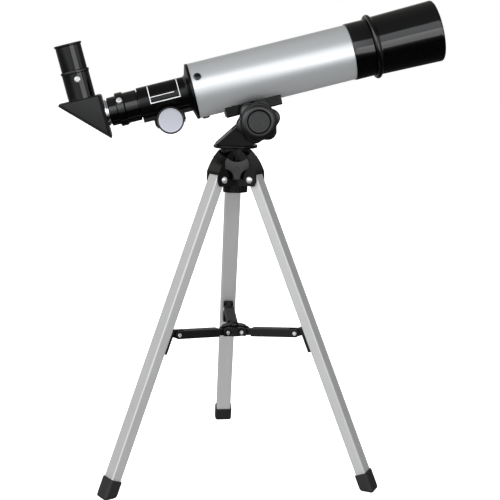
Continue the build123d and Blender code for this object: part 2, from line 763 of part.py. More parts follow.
def on_arm(shape):
    """Moves a shape from the arm's own frame (X from the outer pivot to the hub) into place."""
    r, z = arm_pivot()
    droop = degrees(asin((z - HUB_PIVOT_Z) / arm_length()))
    return Pos(r, 0, z) * Rot(0, 0, 180) * Rot(0, droop, 0) * shape


def arm_length():
    r, z = arm_pivot()
    return sqrt((r - HUB_PIVOT_R) ** 2 + (z - HUB_PIVOT_Z) ** 2)


def brace_arm(azimuth):
    length = arm_length()
    shoulder = length - 10.2
    bar = slab(0, shoulder, -ARM_HALF_W, ARM_HALF_W, -ARM_HALF_H, ARM_HALF_H)
    bar += rod_y(0, 0, -ARM_HALF_W, ARM_HALF_W, ARM_HALF_H)
    bar = fillet(bar.edges().filter_by(Axis.X).group_by(Axis.Z)[-1], 0.8)
    bar -= slab(6.5, shoulder - 3, -ARM_HALF_W + 1.6, ARM_HALF_W - 1.6, -ARM_HALF_H - 1, ARM_HALF_H - 1.8)
    bar -= slab(-6, 7.5, -3.2, 3.2, -ARM_HALF_H - 1, ARM_HALF_H + 1)
    tongue = slab(shoulder - 4, length, -TONGUE_HALF, TONGUE_HALF, -3.4, 3.4)
    tongue += rod_y(length, 0, -TONGUE_HALF, TONGUE_HALF, 3.4)
    bar += tongue
    bar -= rod_y(0, 0, -8, 8, 1.51)
    bar -= rod_y(length, 0, -8, 8, 1.6)
    return about_axis(on_arm(bar), azimuth)


def arm_pin(azimuth):
    pin = pin_with_heads(0, 0, ARM_HALF_W, 1.5, 2.2, 1.1)
    return about_axis(on_arm(pin), azimuth)


def brace_hub():
    hub = rod_z(0, 0, HUB_BASE, HUB_TOP, 13.2)
    for azimuth in LEG_AZIMUTHS.values():
        cheek = slab(6, HUB_PIVOT_R, -5.6, 5.6, HUB_PIVOT_Z - 3.7, HUB_TOP)
        cheek += rod_y(HUB_PIVOT_R, HUB_PIVOT_Z, -5.6, 5.6, 5.3)
        hub += about_axis(cheek & slab(0, 30, -6, 6, HUB_BASE, HUB_TOP), azimuth)
    for azimuth in LEG_AZIMUTHS.values():
        slot = slab(4.0, 30, -3.15, 3.15, HUB_BASE - 1, HUB_TOP + 1)
        hub -= about_axis(slot, azimuth)
        hub -= about_axis(rod_y(HUB_PIVOT_R, HUB_PIVOT_Z, -8, 8, 1.31), azimuth)
        for side in (-1, 1):
            y = sorted((side * 5.6, side * 12))
            hub -= about_axis(rod_y(HUB_PIVOT_R, HUB_PIVOT_Z, y[0], y[1], 3.0), azimuth)
    hub -= rod_z(0, 0, HUB_BASE + 5, HUB_TOP + 1, 2.0)
    return hub


def hub_cap():
    cap = rod_z(0, 0, HUB_TOP + 0.02, HUB_TOP + 4.8, 4.8)
    cap = fillet(cap.edges().sort_by(Axis.Z)[-1], 3.2)
    return cap + rod_z(0, 0, HUB_BASE + 5.2, HUB_TOP + 1, 1.98)


def hub_rivets():
    rivets = []
    for azimuth in LEG_AZIMUTHS.values():
        for side in (-1, 1):
            shank = sorted((side * 3.2, side * 5.7))
            head = sorted((side * 5.62, side * 6.7))
            rivet = rod_y(HUB_PIVOT_R, HUB_PIVOT_Z, head[0], head[1], 2.2)
            rivet = fillet(rivet.edges().sort_by(lambda e: side * e.center().Y)[-1], 0.6)
            rivet += rod_y(HUB_PIVOT_R, HUB_PIVOT_Z, shank[0], shank[1], 1.3)
            rivets.append(about_axis(rivet, azimuth))
    return Compound(rivets)


TUBE_PARTS = [
    main_tube, tube_screws, lens_cell, flint_lens, crown_lens, lens_spacer, lens_ring, light_baffle,
    dew_shield, rear_cell, pinion_cover, pinion_cover_screws, draw_tube, collar_thumb_screw,
    focus_shaft, pinion, focus_knobs, focus_knob_caps, diagonal_body, diagonal_cover,
    diagonal_mirror, diagonal_barrel, holder_thumb_screw, eyepiece_barrel, eyepiece_body,
    eye_lens, field_lens, field_stop, tube_saddle, saddle_screws,
]
STAND_PARTS = [
    pan_head, altitude_bolt, altitude_knob, altitude_knob_cap, pan_bolt, pan_washer,
    crown, leg_pivot_pins, brace_hub, hub_cap, hub_rivets,
]
LEG_PARTS = [leg, leg_plug, foot, leg_bracket, brace_arm, arm_pin]

os.makedirs("parts", exist_ok=True)
for make in TUBE_PARTS:
    export_step(in_tube(make()), "parts/" + make.__name__ + ".step")
for make in STAND_PARTS:
    export_step(make(), "parts/" + make.__name__ + ".step")
for make in LEG_PARTS:
    for place, azimuth in LEG_AZIMUTHS.items():
        export_step(make(azimuth), "parts/" + make.__name__ + "_" + place + ".step")
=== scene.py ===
# %% [markdown]
# # A tabletop telescope on a folding tripod
#
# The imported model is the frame: it has the true sizes, the places and the joints. Each cell below
# makes one piece of the telescope, or one finish. Lengths in the lists are millimetres, because
# that is how a maker reads them, and `MM` turns them into metres.

# %% Load the frame
import json
import math
import bmesh
import bpy
import numpy as np
from mathutils import Matrix

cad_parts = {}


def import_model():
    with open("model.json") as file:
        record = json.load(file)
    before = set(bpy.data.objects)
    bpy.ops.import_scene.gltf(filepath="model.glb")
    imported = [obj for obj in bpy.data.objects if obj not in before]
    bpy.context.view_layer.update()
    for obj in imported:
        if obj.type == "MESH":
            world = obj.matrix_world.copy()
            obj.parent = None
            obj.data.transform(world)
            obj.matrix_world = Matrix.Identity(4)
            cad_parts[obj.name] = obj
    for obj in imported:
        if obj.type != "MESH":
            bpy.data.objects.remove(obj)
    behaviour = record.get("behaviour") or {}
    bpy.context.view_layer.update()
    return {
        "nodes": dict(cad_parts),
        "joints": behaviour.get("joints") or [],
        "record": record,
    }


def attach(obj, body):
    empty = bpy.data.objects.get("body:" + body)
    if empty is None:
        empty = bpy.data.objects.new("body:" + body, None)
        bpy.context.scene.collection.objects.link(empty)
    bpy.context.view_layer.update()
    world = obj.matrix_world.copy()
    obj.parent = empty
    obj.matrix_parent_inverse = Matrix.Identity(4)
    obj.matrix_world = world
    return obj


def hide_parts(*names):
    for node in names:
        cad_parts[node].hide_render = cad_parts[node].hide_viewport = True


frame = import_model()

MM = 0.001
mounts = {m["name"]: m for m in frame["record"]["mounts"]}
joints = {j["name"]: j for j in frame["joints"]}

# %% [markdown]
# ## Places
#
# The optical tube leans up by about 14 degrees, and the legs splay outwards, so their pieces are
# easier to draw in a space of their own. A space is an origin and three directions. The tube's
# comes from the seat of its dust cap, a leg's from the hinge at its top, a knob's from its axle.

# %% Spaces for the tube, the knobs and the legs
def space(origin, x, y, z):
    """An origin in metres and the three unit directions of a piece's own axes, one to a row."""
    return np.array(origin, float), np.array([x, y, z], float)


def world(points, place):
    """Origin + x*X + y*Y + z*Z for points in millimetres, given back in metres."""
    origin, axes = place
    return origin + (np.asarray(points, float) * MM) @ axes


CAP_SEAT = 210.7
cap = mounts["dust_cap_bore"]
along = np.array(cap["axis"], float)
up = np.cross(along, (0, 1, 0))
TUBE = space(np.array(cap["pos_m"]) - along * CAP_SEAT * MM, along, (0, 1, 0), up)
UPRIGHT = space((0, 0, 0), (1, 0, 0), (0, 1, 0), (0, 0, 1))
pivot = np.array(joints["altitude"]["pos_m"], float)
pivot[1] = 0
ALTITUDE = space(pivot, (1, 0, 0), (0, 1, 0), (0, 0, 1))

SPLAY = math.radians(22.8)
PLACES = ("back", "left", "right")
LEGS = {}
for place in PLACES:
    hinge = joints["leg_fold_" + place]
    across = np.array(hinge["axis"], float)
    out = np.cross(across, (0, 0, 1))
    leg_x = out * math.cos(SPLAY) + np.array((0, 0, math.sin(SPLAY)))
    leg_z = -out * math.sin(SPLAY) + np.array((0, 0, math.cos(SPLAY)))
    LEGS[place] = space(hinge["pos_m"], leg_x, across, leg_z)
print("tube leans by", round(math.degrees(math.asin(along[2])), 2), "degrees")

# %% [markdown]
# ## Surfaces
#
# Every new piece is one of three surfaces. A turned piece is a profile carried round an axis. A
# loft is a stack of outlines. A moulded copy is the CAD solid with its edges rounded over, for
# castings too involved to be one surface. `eased` rounds the corners of any profile or outline
# first, because no real edge is perfectly sharp, and light shows that at once.

# %% Rounded corners
def eased(corners, radius, steps=5, closed=True):
    """Each corner C becomes the parabola (1-t)^2 A + 2t(1-t) C + t^2 B, where A and B lie on the
    two edges beside it, at the radius from C or at 45% of a shorter edge."""
    c = np.array(corners, float)
    r = np.broadcast_to(np.array(radius, float), (len(c),))[:, None].copy()
    before = np.roll(c, 1, 0) - c
    after = np.roll(c, -1, 0) - c
    if not closed:
        r[[0, -1]] = 0
    far_a = np.linalg.norm(before, axis=1, keepdims=True)
    far_b = np.linalg.norm(after, axis=1, keepdims=True)
    a = c + before / far_a * np.minimum(r, 0.45 * far_a)
    b = c + after / far_b * np.minimum(r, 0.45 * far_b)
    t = np.linspace(0, 1, steps)[None, :, None]
    curve = (1 - t) ** 2 * a[:, None] + 2 * t * (1 - t) * c[:, None] + t * t * b[:, None]
    return curve.reshape(-1, c.shape[1])


def inset(loop, distance):
    """An outline moved inwards: each point goes by the distance along the normal of the chord
    between its two neighbours."""
    chord = np.roll(loop, -1, 0) - np.roll(loop, 1, 0)
    normal = np.stack([chord[:, 1], -chord[:, 0]], 1)
    normal /= np.maximum(np.linalg.norm(normal, axis=1, keepdims=True), 1e-9)
    area = np.sum(loop[:, 0] * np.roll(loop[:, 1], -1) - loop[:, 1] * np.roll(loop[:, 0], -1))
    return loop - normal * distance * np.sign(area)


unit_square = [(0, 0), (1, 0), (1, 1), (0, 1)]
print("a square with eased corners has", len(eased(unit_square, 0.2)), "points")

# %% [markdown]
# A grid of points becomes a skin by joining each point to its neighbours in the next row and the
# next column. The columns always close into a ring. The rows close as well when the profile is a
# loop, such as the wall of a tube. Blender's Screw modifier could turn a profile too, but a formula
# keeps the seam closed and the number of faces known.

# %% Skins and turned pieces
def skin(grid, wrap_rows=False, ends=True):
    """Faces of a grid of points whose columns close on themselves: quads, and a lid on the first
    and the last row where the rows do not wrap."""
    rows, cols = grid.shape[:2]
    r = np.arange(rows if wrap_rows else rows - 1)[:, None]
    c = np.arange(cols)[None, :]
    r2, c2 = (r + 1) % rows, (c + 1) % cols
    quads = np.stack([r * cols + c, r * cols + c2, r2 * cols + c2, r2 * cols + c], -1)
    faces = quads.reshape(-1, 4).tolist()
    if ends and not wrap_rows:
        faces += [list(range(cols))[::-1], [(rows - 1) * cols + k for k in range(cols)]]
    return grid.reshape(-1, 3), faces


def turned(profile, steps=128, closed=True, axis=0, at=(0, 0)):
    """Profile (p, r) carried round an axis: the point is p along it, r cos a and r sin a across."""
    profile = np.asarray(profile, float)
    a = np.linspace(0, 2 * np.pi, steps, endpoint=False)
    p = np.broadcast_to(profile[:, :1], (len(profile), steps))
    u = profile[:, 1:2] * np.cos(a) + at[0]
    v = profile[:, 1:2] * np.sin(a) + at[1]
    order = {0: (p, u, v), 1: (u, p, v), 2: (u, v, p)}[axis]
    return skin(np.stack(order, -1), wrap_rows=closed, ends=False)


print("a square section turned in 8 steps has", len(turned(unit_square, 8)[1]), "faces")

# %% [markdown]
# A flat plate is an outline carried a short way. Its two rims are rounded, so that they catch a
# line of light. A Bevel modifier could do that, but here the rounding is part of the stack: the
# first outlines are inset less and less, as a quarter of a circle asks, and the last ones again.

# %% Plates with rounded rims
def prism(outline, low, high, edge, axis=1, steps=4):
    """Outline carried from low to high, its two rims rounded by a quarter of a circle: inset by
    edge * (1 - sin a) while the height goes by edge * (1 - cos a)."""
    loop = np.asarray(outline, float)
    a = np.linspace(0, np.pi / 2, steps)
    side = [(edge * (1 - np.sin(k)), low + edge * (1 - np.cos(k))) for k in a]
    side += [(d, low + high - h) for d, h in reversed(side)]
    grid = []
    for distance, height in side:
        flat = inset(loop, distance)
        level = np.full(len(flat), height)
        order = {0: (level, flat[:, 0], flat[:, 1]), 1: (flat[:, 0], level, flat[:, 1]),
                 2: (flat[:, 0], flat[:, 1], level)}[axis]
        grid.append(np.stack(order, -1))
    return skin(np.array(grid))


print("a square plate with rounded rims has", len(prism(unit_square, 0, 1, 0.1)[0]), "points")

# %% [markdown]
# One function puts the surfaces of a piece into one mesh. It welds the seams and poles, turns all
# faces outwards, and rounds the shading except across real edges. It also keeps each point's
# place in the piece's own space as the attribute `grain`, so that brushing follows the part and
# not the room.

# %% Make a piece
WELD, COLLAPSE = 0.002 * MM, 0.001 * MM


def make(name, shells, place, body, stands_for, material, sharp=40, weighted=False):
    """One mesh from a list of (points, faces) shells, drawn in the space `place`. It moves with
    `body` and stands for the CAD nodes named. Edges bent past `sharp` degrees stay edges."""
    points, faces = [], []
    for verts, quads in shells:
        faces += [[k + len(points) for k in f] for f in quads]
        points += verts.tolist()
    mesh = bpy.data.meshes.new(name)
    mesh.from_pydata(world(points, place).tolist(), [], faces)
    mesh.attributes.new("grain", "FLOAT_VECTOR", "POINT")
    mesh.attributes["grain"].data.foreach_set("vector", (np.array(points) * MM).ravel())
    tidy = bmesh.new()
    tidy.from_mesh(mesh)
    bmesh.ops.remove_doubles(tidy, verts=tidy.verts, dist=WELD)
    bmesh.ops.dissolve_degenerate(tidy, edges=tidy.edges, dist=COLLAPSE)
    bmesh.ops.recalc_face_normals(tidy, faces=tidy.faces)
    tidy.to_mesh(mesh)
    tidy.free()
    mesh.polygons.foreach_set("use_smooth", np.ones(len(mesh.polygons), bool))
    mesh.set_sharp_from_angle(angle=math.radians(sharp))
    piece = bpy.data.objects.new(name, mesh)
    bpy.context.scene.collection.objects.link(piece)
    mesh.materials.append(material)
    if weighted:
        flat = piece.modifiers.new("even shading", "WEIGHTED_NORMAL")
        flat.keep_sharp = True
    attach(piece, body)
    if stands_for:
        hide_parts(*stands_for)
    print(name, len(mesh.vertices), "points on", body)
    return piece


print("points closer than", round(WELD / MM, 4), "mm are welded")

# %% [markdown]
# A casting with holes and ribs is too involved for one surface, so its piece starts as a copy of
# the CAD solid. The copy is loose triangles: they are welded, and those on one plane are joined.
# A Bevel modifier then rounds every edge, as the radius in a mould does, and Weighted Normal keeps
# the flat faces evenly shaded.

# %% Mould a copy of a CAD solid
SAME_PLANE, EDGE_FROM = math.radians(0.6), math.radians(28)


def moulded(node, edge, material, body, place=UPRIGHT):
    """A copy of a CAD solid, welded, its flat faces joined, and its edges rounded by `edge` mm."""
    mesh = frame["nodes"][node].data.copy()
    mesh.name = node + "_moulded"
    tidy = bmesh.new()
    tidy.from_mesh(mesh)
    bmesh.ops.remove_doubles(tidy, verts=tidy.verts, dist=WELD)
    bmesh.ops.dissolve_limit(tidy, angle_limit=SAME_PLANE, verts=tidy.verts, edges=tidy.edges)
    tidy.to_mesh(mesh)
    tidy.free()
    origin, axes = place
    own = (np.array([v.co for v in mesh.vertices]) - origin) @ axes.T
    mesh.attributes.new("grain", "FLOAT_VECTOR", "POINT")
    mesh.attributes["grain"].data.foreach_set("vector", own.ravel())
    mesh.polygons.foreach_set("use_smooth", np.ones(len(mesh.polygons), bool))
    mesh.materials.clear()
    mesh.materials.append(material)
    piece = bpy.data.objects.new(node + "_moulded", mesh)
    bpy.context.scene.collection.objects.link(piece)
    rounding = piece.modifiers.new("rounded edges", "BEVEL")
    rounding.width = edge * MM
    rounding.segments = 3
    rounding.limit_method = "ANGLE"
    rounding.angle_limit = EDGE_FROM
    rounding.miter_outer = "MITER_ARC"
    rounding.harden_normals = False
    flat = piece.modifiers.new("even shading", "WEIGHTED_NORMAL")
    flat.keep_sharp = True
    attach(piece, body)
    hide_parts(node)
    print(piece.name, len(mesh.vertices), "points on", body)
    return piece


print("edges bent by more than", round(math.degrees(EDGE_FROM)), "degrees are rounded")

# %% [markdown]
# ## Finishes
#
# A finish is a colour, a gloss, and the small unevenness that tells the eye what it is made of.
# `surface` sets the even part straight on the shader. `grain_of` adds fine noise, which drives
# gloss and a shallow bump. Brushing is the same noise, stretched along the piece.

# %% Build a finish
NOISE_LOW, NOISE_HIGH = 0.3, 0.7


def surface(name, colour, metallic, roughness, specular=0.5):
    """A finish that is the same all over, with each value on its own socket of the shader."""
    material = bpy.data.materials.new(name)
    material.use_nodes = True
    shader = material.node_tree.nodes["Principled BSDF"]
    shader.inputs["Base Color"].default_value = (*colour, 1)
    shader.inputs["Metallic"].default_value = metallic
    shader.inputs["Roughness"].default_value = roughness
    shader.inputs["Specular IOR Level"].default_value = specular
    material.diffuse_color = (*colour, 1)
    return material


def grain_of(material, scale, height, gloss, tint=0.0, squeeze=(1, 1, 1), own=False, detail=3):
    """Noise of `scale` grains to a metre, stretched by `squeeze`: gloss runs between the two
    values, colour between 1 - tint and 1 + tint of itself, and the bump is `height` mm."""
    tree = material.node_tree
    shader = tree.nodes["Principled BSDF"]
    if own:
        where = tree.nodes.new("ShaderNodeAttribute")
        where.attribute_name = "grain"
        spot = where.outputs["Vector"]
    else:
        spot = tree.nodes.new("ShaderNodeTexCoord").outputs["Object"]
    stretch = tree.nodes.new("ShaderNodeMapping")
    stretch.inputs["Scale"].default_value = squeeze
    noise = tree.nodes.new("ShaderNodeTexNoise")
    noise.inputs["Scale"].default_value = scale
    noise.inputs["Detail"].default_value = detail
    tree.links.new(spot, stretch.inputs["Vector"])
    tree.links.new(stretch.outputs["Vector"], noise.inputs["Vector"])
    rough = tree.nodes.new("ShaderNodeMapRange")
    rough.inputs["From Min"].default_value = NOISE_LOW
    rough.inputs["From Max"].default_value = NOISE_HIGH
    rough.inputs["To Min"].default_value = gloss[0]
    rough.inputs["To Max"].default_value = gloss[1]
    tree.links.new(noise.outputs["Fac"], rough.inputs["Value"])
    tree.links.new(rough.outputs["Result"], shader.inputs["Roughness"])
    if tint:
        colour = np.array(shader.inputs["Base Color"].default_value)[:3]
        ramp = tree.nodes.new("ShaderNodeValToRGB")
        ramp.color_ramp.elements[0].position = NOISE_LOW
        ramp.color_ramp.elements[1].position = NOISE_HIGH
        ramp.color_ramp.elements[0].color = (*(colour * (1 - tint)), 1)
        ramp.color_ramp.elements[1].color = (*(colour * (1 + tint)), 1)
        tree.links.new(noise.outputs["Fac"], ramp.inputs["Fac"])
        tree.links.new(ramp.outputs["Color"], shader.inputs["Base Color"])
    bump = tree.nodes.new("ShaderNodeBump")
    bump.inputs["Distance"].default_value = height * MM
    tree.links.new(noise.outputs["Fac"], bump.inputs["Height"])
    tree.links.new(bump.outputs["Normal"], shader.inputs["Normal"])
    return material


print("noise between", NOISE_LOW, "and", NOISE_HIGH, "is spread over the whole of each effect")

# %% [markdown]
# The tube is sprayed with a silver lacquer: flakes under a clear film, so it is part metal and
# part paint. A fully metallic shader would make it a mirror of the room, and a plain grey paint
# would lose the bright line along it.

# %% Silver lacquer
silver_lacquer = grain_of(surface("silver lacquer", (0.535, 0.55, 0.56), 0.66, 0.36),
                          5200, 0.0016, (0.32, 0.40), tint=0.03)
print(silver_lacquer.name)

# %% [markdown]
# The black parts are all one plastic, and only its surface changes. The dew shield is polished,
# with the faintest waves in it. The castings come from a mould with a fine texture, the sides of
# the diagonal are stippled, and the altitude knob is satin. The colour is nearly nothing, so the
# gloss and its small unevenness do the work.

# %% Black plastics
polished_black = grain_of(surface("polished black plastic", (0.0008, 0.0008, 0.0009), 0, 0.09),
                          160, 0.004, (0.07, 0.12), detail=1)
housing_black = grain_of(surface("moulded gloss black", (0.0012, 0.0012, 0.0013), 0, 0.2,
                                 specular=0.22),
                         420, 0.003, (0.15, 0.24), detail=2)
casting_black = grain_of(surface("black casting", (0.0010, 0.0010, 0.0011), 0, 0.20, specular=0.17),
                         900, 0.004, (0.15, 0.26), tint=0.08)
matt_black = grain_of(surface("matt black plastic", (0.0026, 0.0026, 0.0028), 0, 0.36,
                              specular=0.26),
                      2600, 0.008, (0.30, 0.42), tint=0.12)
side_black = grain_of(surface("stippled black plastic", (0.0055, 0.0055, 0.0058), 0, 0.46,
                              specular=0.34),
                      3400, 0.014, (0.40, 0.54), tint=0.15)
grip_black = grain_of(surface("satin grip plastic", (0.0038, 0.0038, 0.004), 0, 0.33, specular=0.5),
                      2400, 0.006, (0.28, 0.40), tint=0.10)
knob_grey = grain_of(surface("soft grey knob plastic", (0.013, 0.013, 0.0135), 0, 0.5,
                             specular=0.4),
                     2400, 0.008, (0.40, 0.52), tint=0.10)
print(len(bpy.data.materials), "finishes so far")

# %% [markdown]
# The bright parts are metal. The knob discs and the rivets are satin, the barrels are chrome, and
# the legs are anodised aluminium, brushed along their length. Their noise reads the attribute
# `grain` and is stretched along it, so the brushing follows each leg however it stands.

# %% Metals
disc_silver = grain_of(surface("satin silver disc", (0.39, 0.395, 0.44), 0.5, 0.34),
                       900, 0.003, (0.28, 0.40), tint=0.02)
plated_steel = grain_of(surface("plated steel", (0.60, 0.60, 0.61), 0.8, 0.38),
                        1500, 0.002, (0.33, 0.44), tint=0.05)
chrome = grain_of(surface("polished chrome", (0.80, 0.81, 0.83), 1.0, 0.16),
                  700, 0.001, (0.11, 0.22), tint=0.02)
leg_metal = grain_of(surface("anodised leg", (0.385, 0.385, 0.38), 0.32, 0.36),
                     1800, 0.004, (0.30, 0.42), tint=0.05, squeeze=(1, 1, 0.012), own=True)
print(len(bpy.data.materials), "finishes so far")

# %% [markdown]
# Rubber is the dullest finish, and the print on the focuser is flat paint. The mirror is silver on
# glass, so it is a metal with almost no roughness. The lenses let the light through: transmission
# is 1, and the index is that of common crown glass.

# %% Rubber, print, mirror and lens glass
CROWN_GLASS_INDEX = 1.52
rubber = grain_of(surface("black rubber", (0.009, 0.009, 0.0095), 0, 0.6, specular=0.35),
                  3000, 0.014, (0.52, 0.68), tint=0.15)
white_print = grain_of(surface("white print", (0.75, 0.75, 0.76), 0, 0.5),
                       4000, 0.002, (0.42, 0.58), tint=0.04)
mirror_glass = grain_of(surface("silvered glass", (0.90, 0.91, 0.92), 1.0, 0.03),
                        300, 0.0004, (0.02, 0.05), tint=0.01)
lens_glass = grain_of(surface("coated lens glass", (0.80, 0.86, 0.98), 0, 0.02),
                      300, 0.0003, (0.01, 0.03), tint=0.01)
lens_shader = lens_glass.node_tree.nodes["Principled BSDF"]
lens_shader.inputs["Transmission Weight"].default_value = 1.0
lens_shader.inputs["IOR"].default_value = CROWN_GLASS_INDEX
print(len(bpy.data.materials), "finishes")

# %% [markdown]
# ## The optical tube
#
# A plain drawn tube. A Cylinder with a Solidify modifier would do for its shape, but its cut ends
# would be sharp, so its wall is a thin section with eased corners, carried round the axis.

# %% Main tube
TUBE_R, TUBE_WALL, TUBE_REAR, TUBE_FRONT = 28.5, 1.2, -45.5, 122.0
wall = [(TUBE_REAR, TUBE_R), (TUBE_FRONT, TUBE_R),
        (TUBE_FRONT, TUBE_R - TUBE_WALL), (TUBE_REAR, TUBE_R - TUBE_WALL)]
make("silver_tube", [turned(eased(wall, 0.3), 192)], TUBE, "tube", ["main_tube"],
     silver_lacquer)

# %% [markdown]
# Three pan-head screws hold the focuser in the rear end of the tube. A head is drawn flat, as a
# height over a disc, and then stood on the tube. The cross is part of that height, so it needs no
# boolean cut and its edges stay soft.

# %% Screw heads
def radial(points, x, angle, lift=0.0):
    """Points (a, b, h) of a head or disc, turned so that h points out of the tube at the angle
    above its near side, at the station x."""
    t = math.radians(angle)
    out = np.array((0, -math.cos(t), math.sin(t)))
    side = np.array((0, math.sin(t), math.cos(t)))
    points = np.asarray(points, float)
    flat = points[:, :1] * np.array((1, 0, 0)) + points[:, 1:2] * side
    return flat + (points[:, 2:] + lift) * out + np.array((x, 0, 0))


def cross_head(r, high, steps=96, rings=26):
    """Dome h = high * (1 - 0.55 (p/r)^2) with a rounded rim, and a cross recess whose depth
    fades with the distance from its two arms. Polar grid of radius p and angle a."""
    p = np.linspace(0, 1, rings)[:, None] ** 0.8 * r
    a = np.linspace(0, 2 * np.pi, steps, endpoint=False)[None, :]
    x, y = p * np.cos(a), p * np.sin(a)
    h = high * (1 - 0.55 * (p / r) ** 2) + 0 * a
    arm = np.minimum(np.abs(x), np.abs(y)) / (0.16 * r)
    reach = np.clip((0.56 - np.maximum(np.abs(x), np.abs(y)) / r) / 0.12, 0, 1)
    h = h - 0.5 * high * np.clip(1.6 - arm, 0, 1) * reach
    rim = np.stack([x[-1], y[-1], np.full(steps, -0.3)], -1)[None]
    grid = np.concatenate([rim, np.stack([x, y, h], -1)[::-1]])
    return skin(grid, ends=False)


SCREW_X, SCREW_R, SCREW_HIGH = -39.0, 3.8, 2.1
heads = []
for angle in (30, 150, 270):
    verts, faces = cross_head(SCREW_R, SCREW_HIGH)
    heads.append((radial(verts, SCREW_X, angle, TUBE_R), faces))
make("tube_screw_heads", heads, TUBE, "tube", ["tube_screws"], polished_black,
     sharp=50)

# %% [markdown]
# ## Lens cell and dew shield
#
# The cell is a plastic collar over the front end of the tube. It holds the objective, and the dew
# shield slides on its neck. It is round all over, so it is one turned profile.

# %% Lens cell
CELL = [(108, 24.0), (140, 24.0), (140, 25.1), (162, 25.1), (162, 27.9), (143.4, 27.9),
        (143.4, 29.4), (122.1, 29.4), (122.1, 27.35), (108, 27.35)]
make("lens_cell_collar", [turned(eased(CELL, 0.45), 192)], TUBE, "tube", ["lens_cell"],
     polished_black)

# %% [markdown]
# The dew shield has a rounded bead at the rear, a slow flare, and a thickened lip. Inside it is
# grooved, so that stray light does not slide along the wall. A texture could only pretend to be
# grooves, so they are real steps of the profile, at every second station.

# %% Dew shield
groove_x = np.arange(163.2, 205.0, 0.7)
groove_r = 28.8 + 0.9 * (groove_x - 162) / 44 + 0.14 * (np.arange(len(groove_x)) % 2)
bore = [(216.0, 30.2), (215.3, 29.7), (206.0, 29.7)]
bore += list(zip(groove_x[::-1], groove_r[::-1]))
bore += [(162.0, 28.8), (160.0, 27.96), (143.7, 27.96)]
bead = [(143.7, 31.6), (144.2, 32.6), (145.2, 33.35), (146.3, 33.6), (147.4, 33.35), (148.3, 32.6),
        (148.8, 31.4), (149.6, 30.35), (150.6, 30.2)]
flare = [(180.0, 30.98), (211.4, 31.8), (212.6, 31.9), (215.2, 31.9), (216.0, 31.2)]
shield = np.array(bead + flare + bore)
make("dew_shield_shell", [turned(eased(shield, 0.5, steps=3), 192)], TUBE, "dew_shield",
     ["dew_shield"], polished_black, sharp=32)

# %% [markdown]
# The objective is two lenses held by a ring. Only the front one is seen, deep in the shield. Its
# faces are spherical: the sag at height h is R - sqrt(R^2 - h^2).

# %% Objective
def bulge(x, radius, h):
    """Place of a spherical face whose pole is at x: x - sign(R) (|R| - sqrt(R^2 - h^2))."""
    return x - np.sign(radius) * (abs(radius) - np.sqrt(radius ** 2 - h ** 2))


LENS_R, REAR_POLE, REAR_CURVE, FRONT_POLE, FRONT_CURVE = 24.95, 146.0, -148, 153.0, 165
h = np.linspace(0, LENS_R, 24)
rear = np.stack([bulge(REAR_POLE, REAR_CURVE, h), h], 1)
front = np.stack([bulge(FRONT_POLE, FRONT_CURVE, h), h], 1)[::-1]
make("front_lens", [turned(np.concatenate([rear, front]), 128, closed=False)], TUBE, "tube",
     ["crown_lens"], lens_glass)
ring = [(151.5, 23.3), (155.5, 23.6), (155.5, 25.05), (151.5, 25.05)]
make("lens_ring_turned", [turned(eased(ring, 0.3), 128)], TUBE, "tube", ["lens_ring"],
     matt_black)

# %% [markdown]
# ## Focuser
#
# The focuser housing is one casting: a flange in the tube, a cone, a barrel, and a channel below
# for the rack. A turned piece would lose the channel, the slot and the holes, so it is a moulded
# copy, and so is the cover over its pinion.

# %% Focuser housing
moulded("rear_cell", 0.45, housing_black, "tube", TUBE)
moulded("pinion_cover", 0.5, matt_black, "tube", TUBE)

# %% [markdown]
# A thin white frame is printed on the side of the barrel. Ink could be an image on the surface,
# but four ribbons that stand 0.04 mm proud of it need no image, and they keep crisp edges.

# %% Printed frame
def ribbon(x0, x1, q0, q1, r, proud=0.04, steps=24):
    """A thin plate wrapped on a barrel of radius r from station x0 to x1, and from height q0 to
    height q1 on its near side: the angle is asin(q / r)."""
    a = np.linspace(math.asin(q0 / r), math.asin(q1 / r), steps)[:, None]
    section = np.array([(x0, r - 0.2), (x1, r - 0.2), (x1, r + proud), (x0, r + proud)])
    along_barrel = np.broadcast_to(section[:, 0], (steps, 4))
    return skin(np.stack([along_barrel, -section[:, 1] * np.cos(a), section[:, 1] * np.sin(a)], -1))


PRINT_REAR, PRINT_FRONT, PRINT_LOW, PRINT_HIGH, HOUSING_R = -90.4, -60.6, -1.4, 16.6, 17.0
frame_lines = [
    ribbon(PRINT_REAR - 0.8, PRINT_REAR, PRINT_LOW, PRINT_HIGH, HOUSING_R),
    ribbon(PRINT_FRONT, PRINT_FRONT + 0.7, PRINT_LOW, PRINT_HIGH, HOUSING_R),
    ribbon(PRINT_REAR - 0.8, PRINT_FRONT + 0.7, PRINT_LOW, -0.5, HOUSING_R),
    ribbon(PRINT_REAR, PRINT_FRONT - 4.5, 4.8, 5.4, HOUSING_R),
]
make("printed_frame", frame_lines, TUBE, "tube", [], white_print, sharp=30)

# %% [markdown]
# The draw tube slides in the housing. Its rack, its slot and its thick collar make it a moulded
# copy too. It is hard, polished plastic, because it has to slide.

# %% Draw tube
moulded("draw_tube", 0.35, polished_black, "draw_tube", TUBE)

# %% [markdown]
# The focus knobs are black drums with sixty fine flutes round the rim, for the fingers, and a
# dished silver disc let into the face of each. Sixty cut boxes would be a heavy way to flute a rim.
# A cosine on the radius does it, and the rows of the profile that are not the rim ignore it.

# %% Focus knobs and their discs
SHAFT_X, SHAFT_Z = -75.8, -21.6
KNOB_R, KNOB_IN, KNOB_OUT = 14.0, 15.6, 27.4
DISC_R = KNOB_R - 1.75


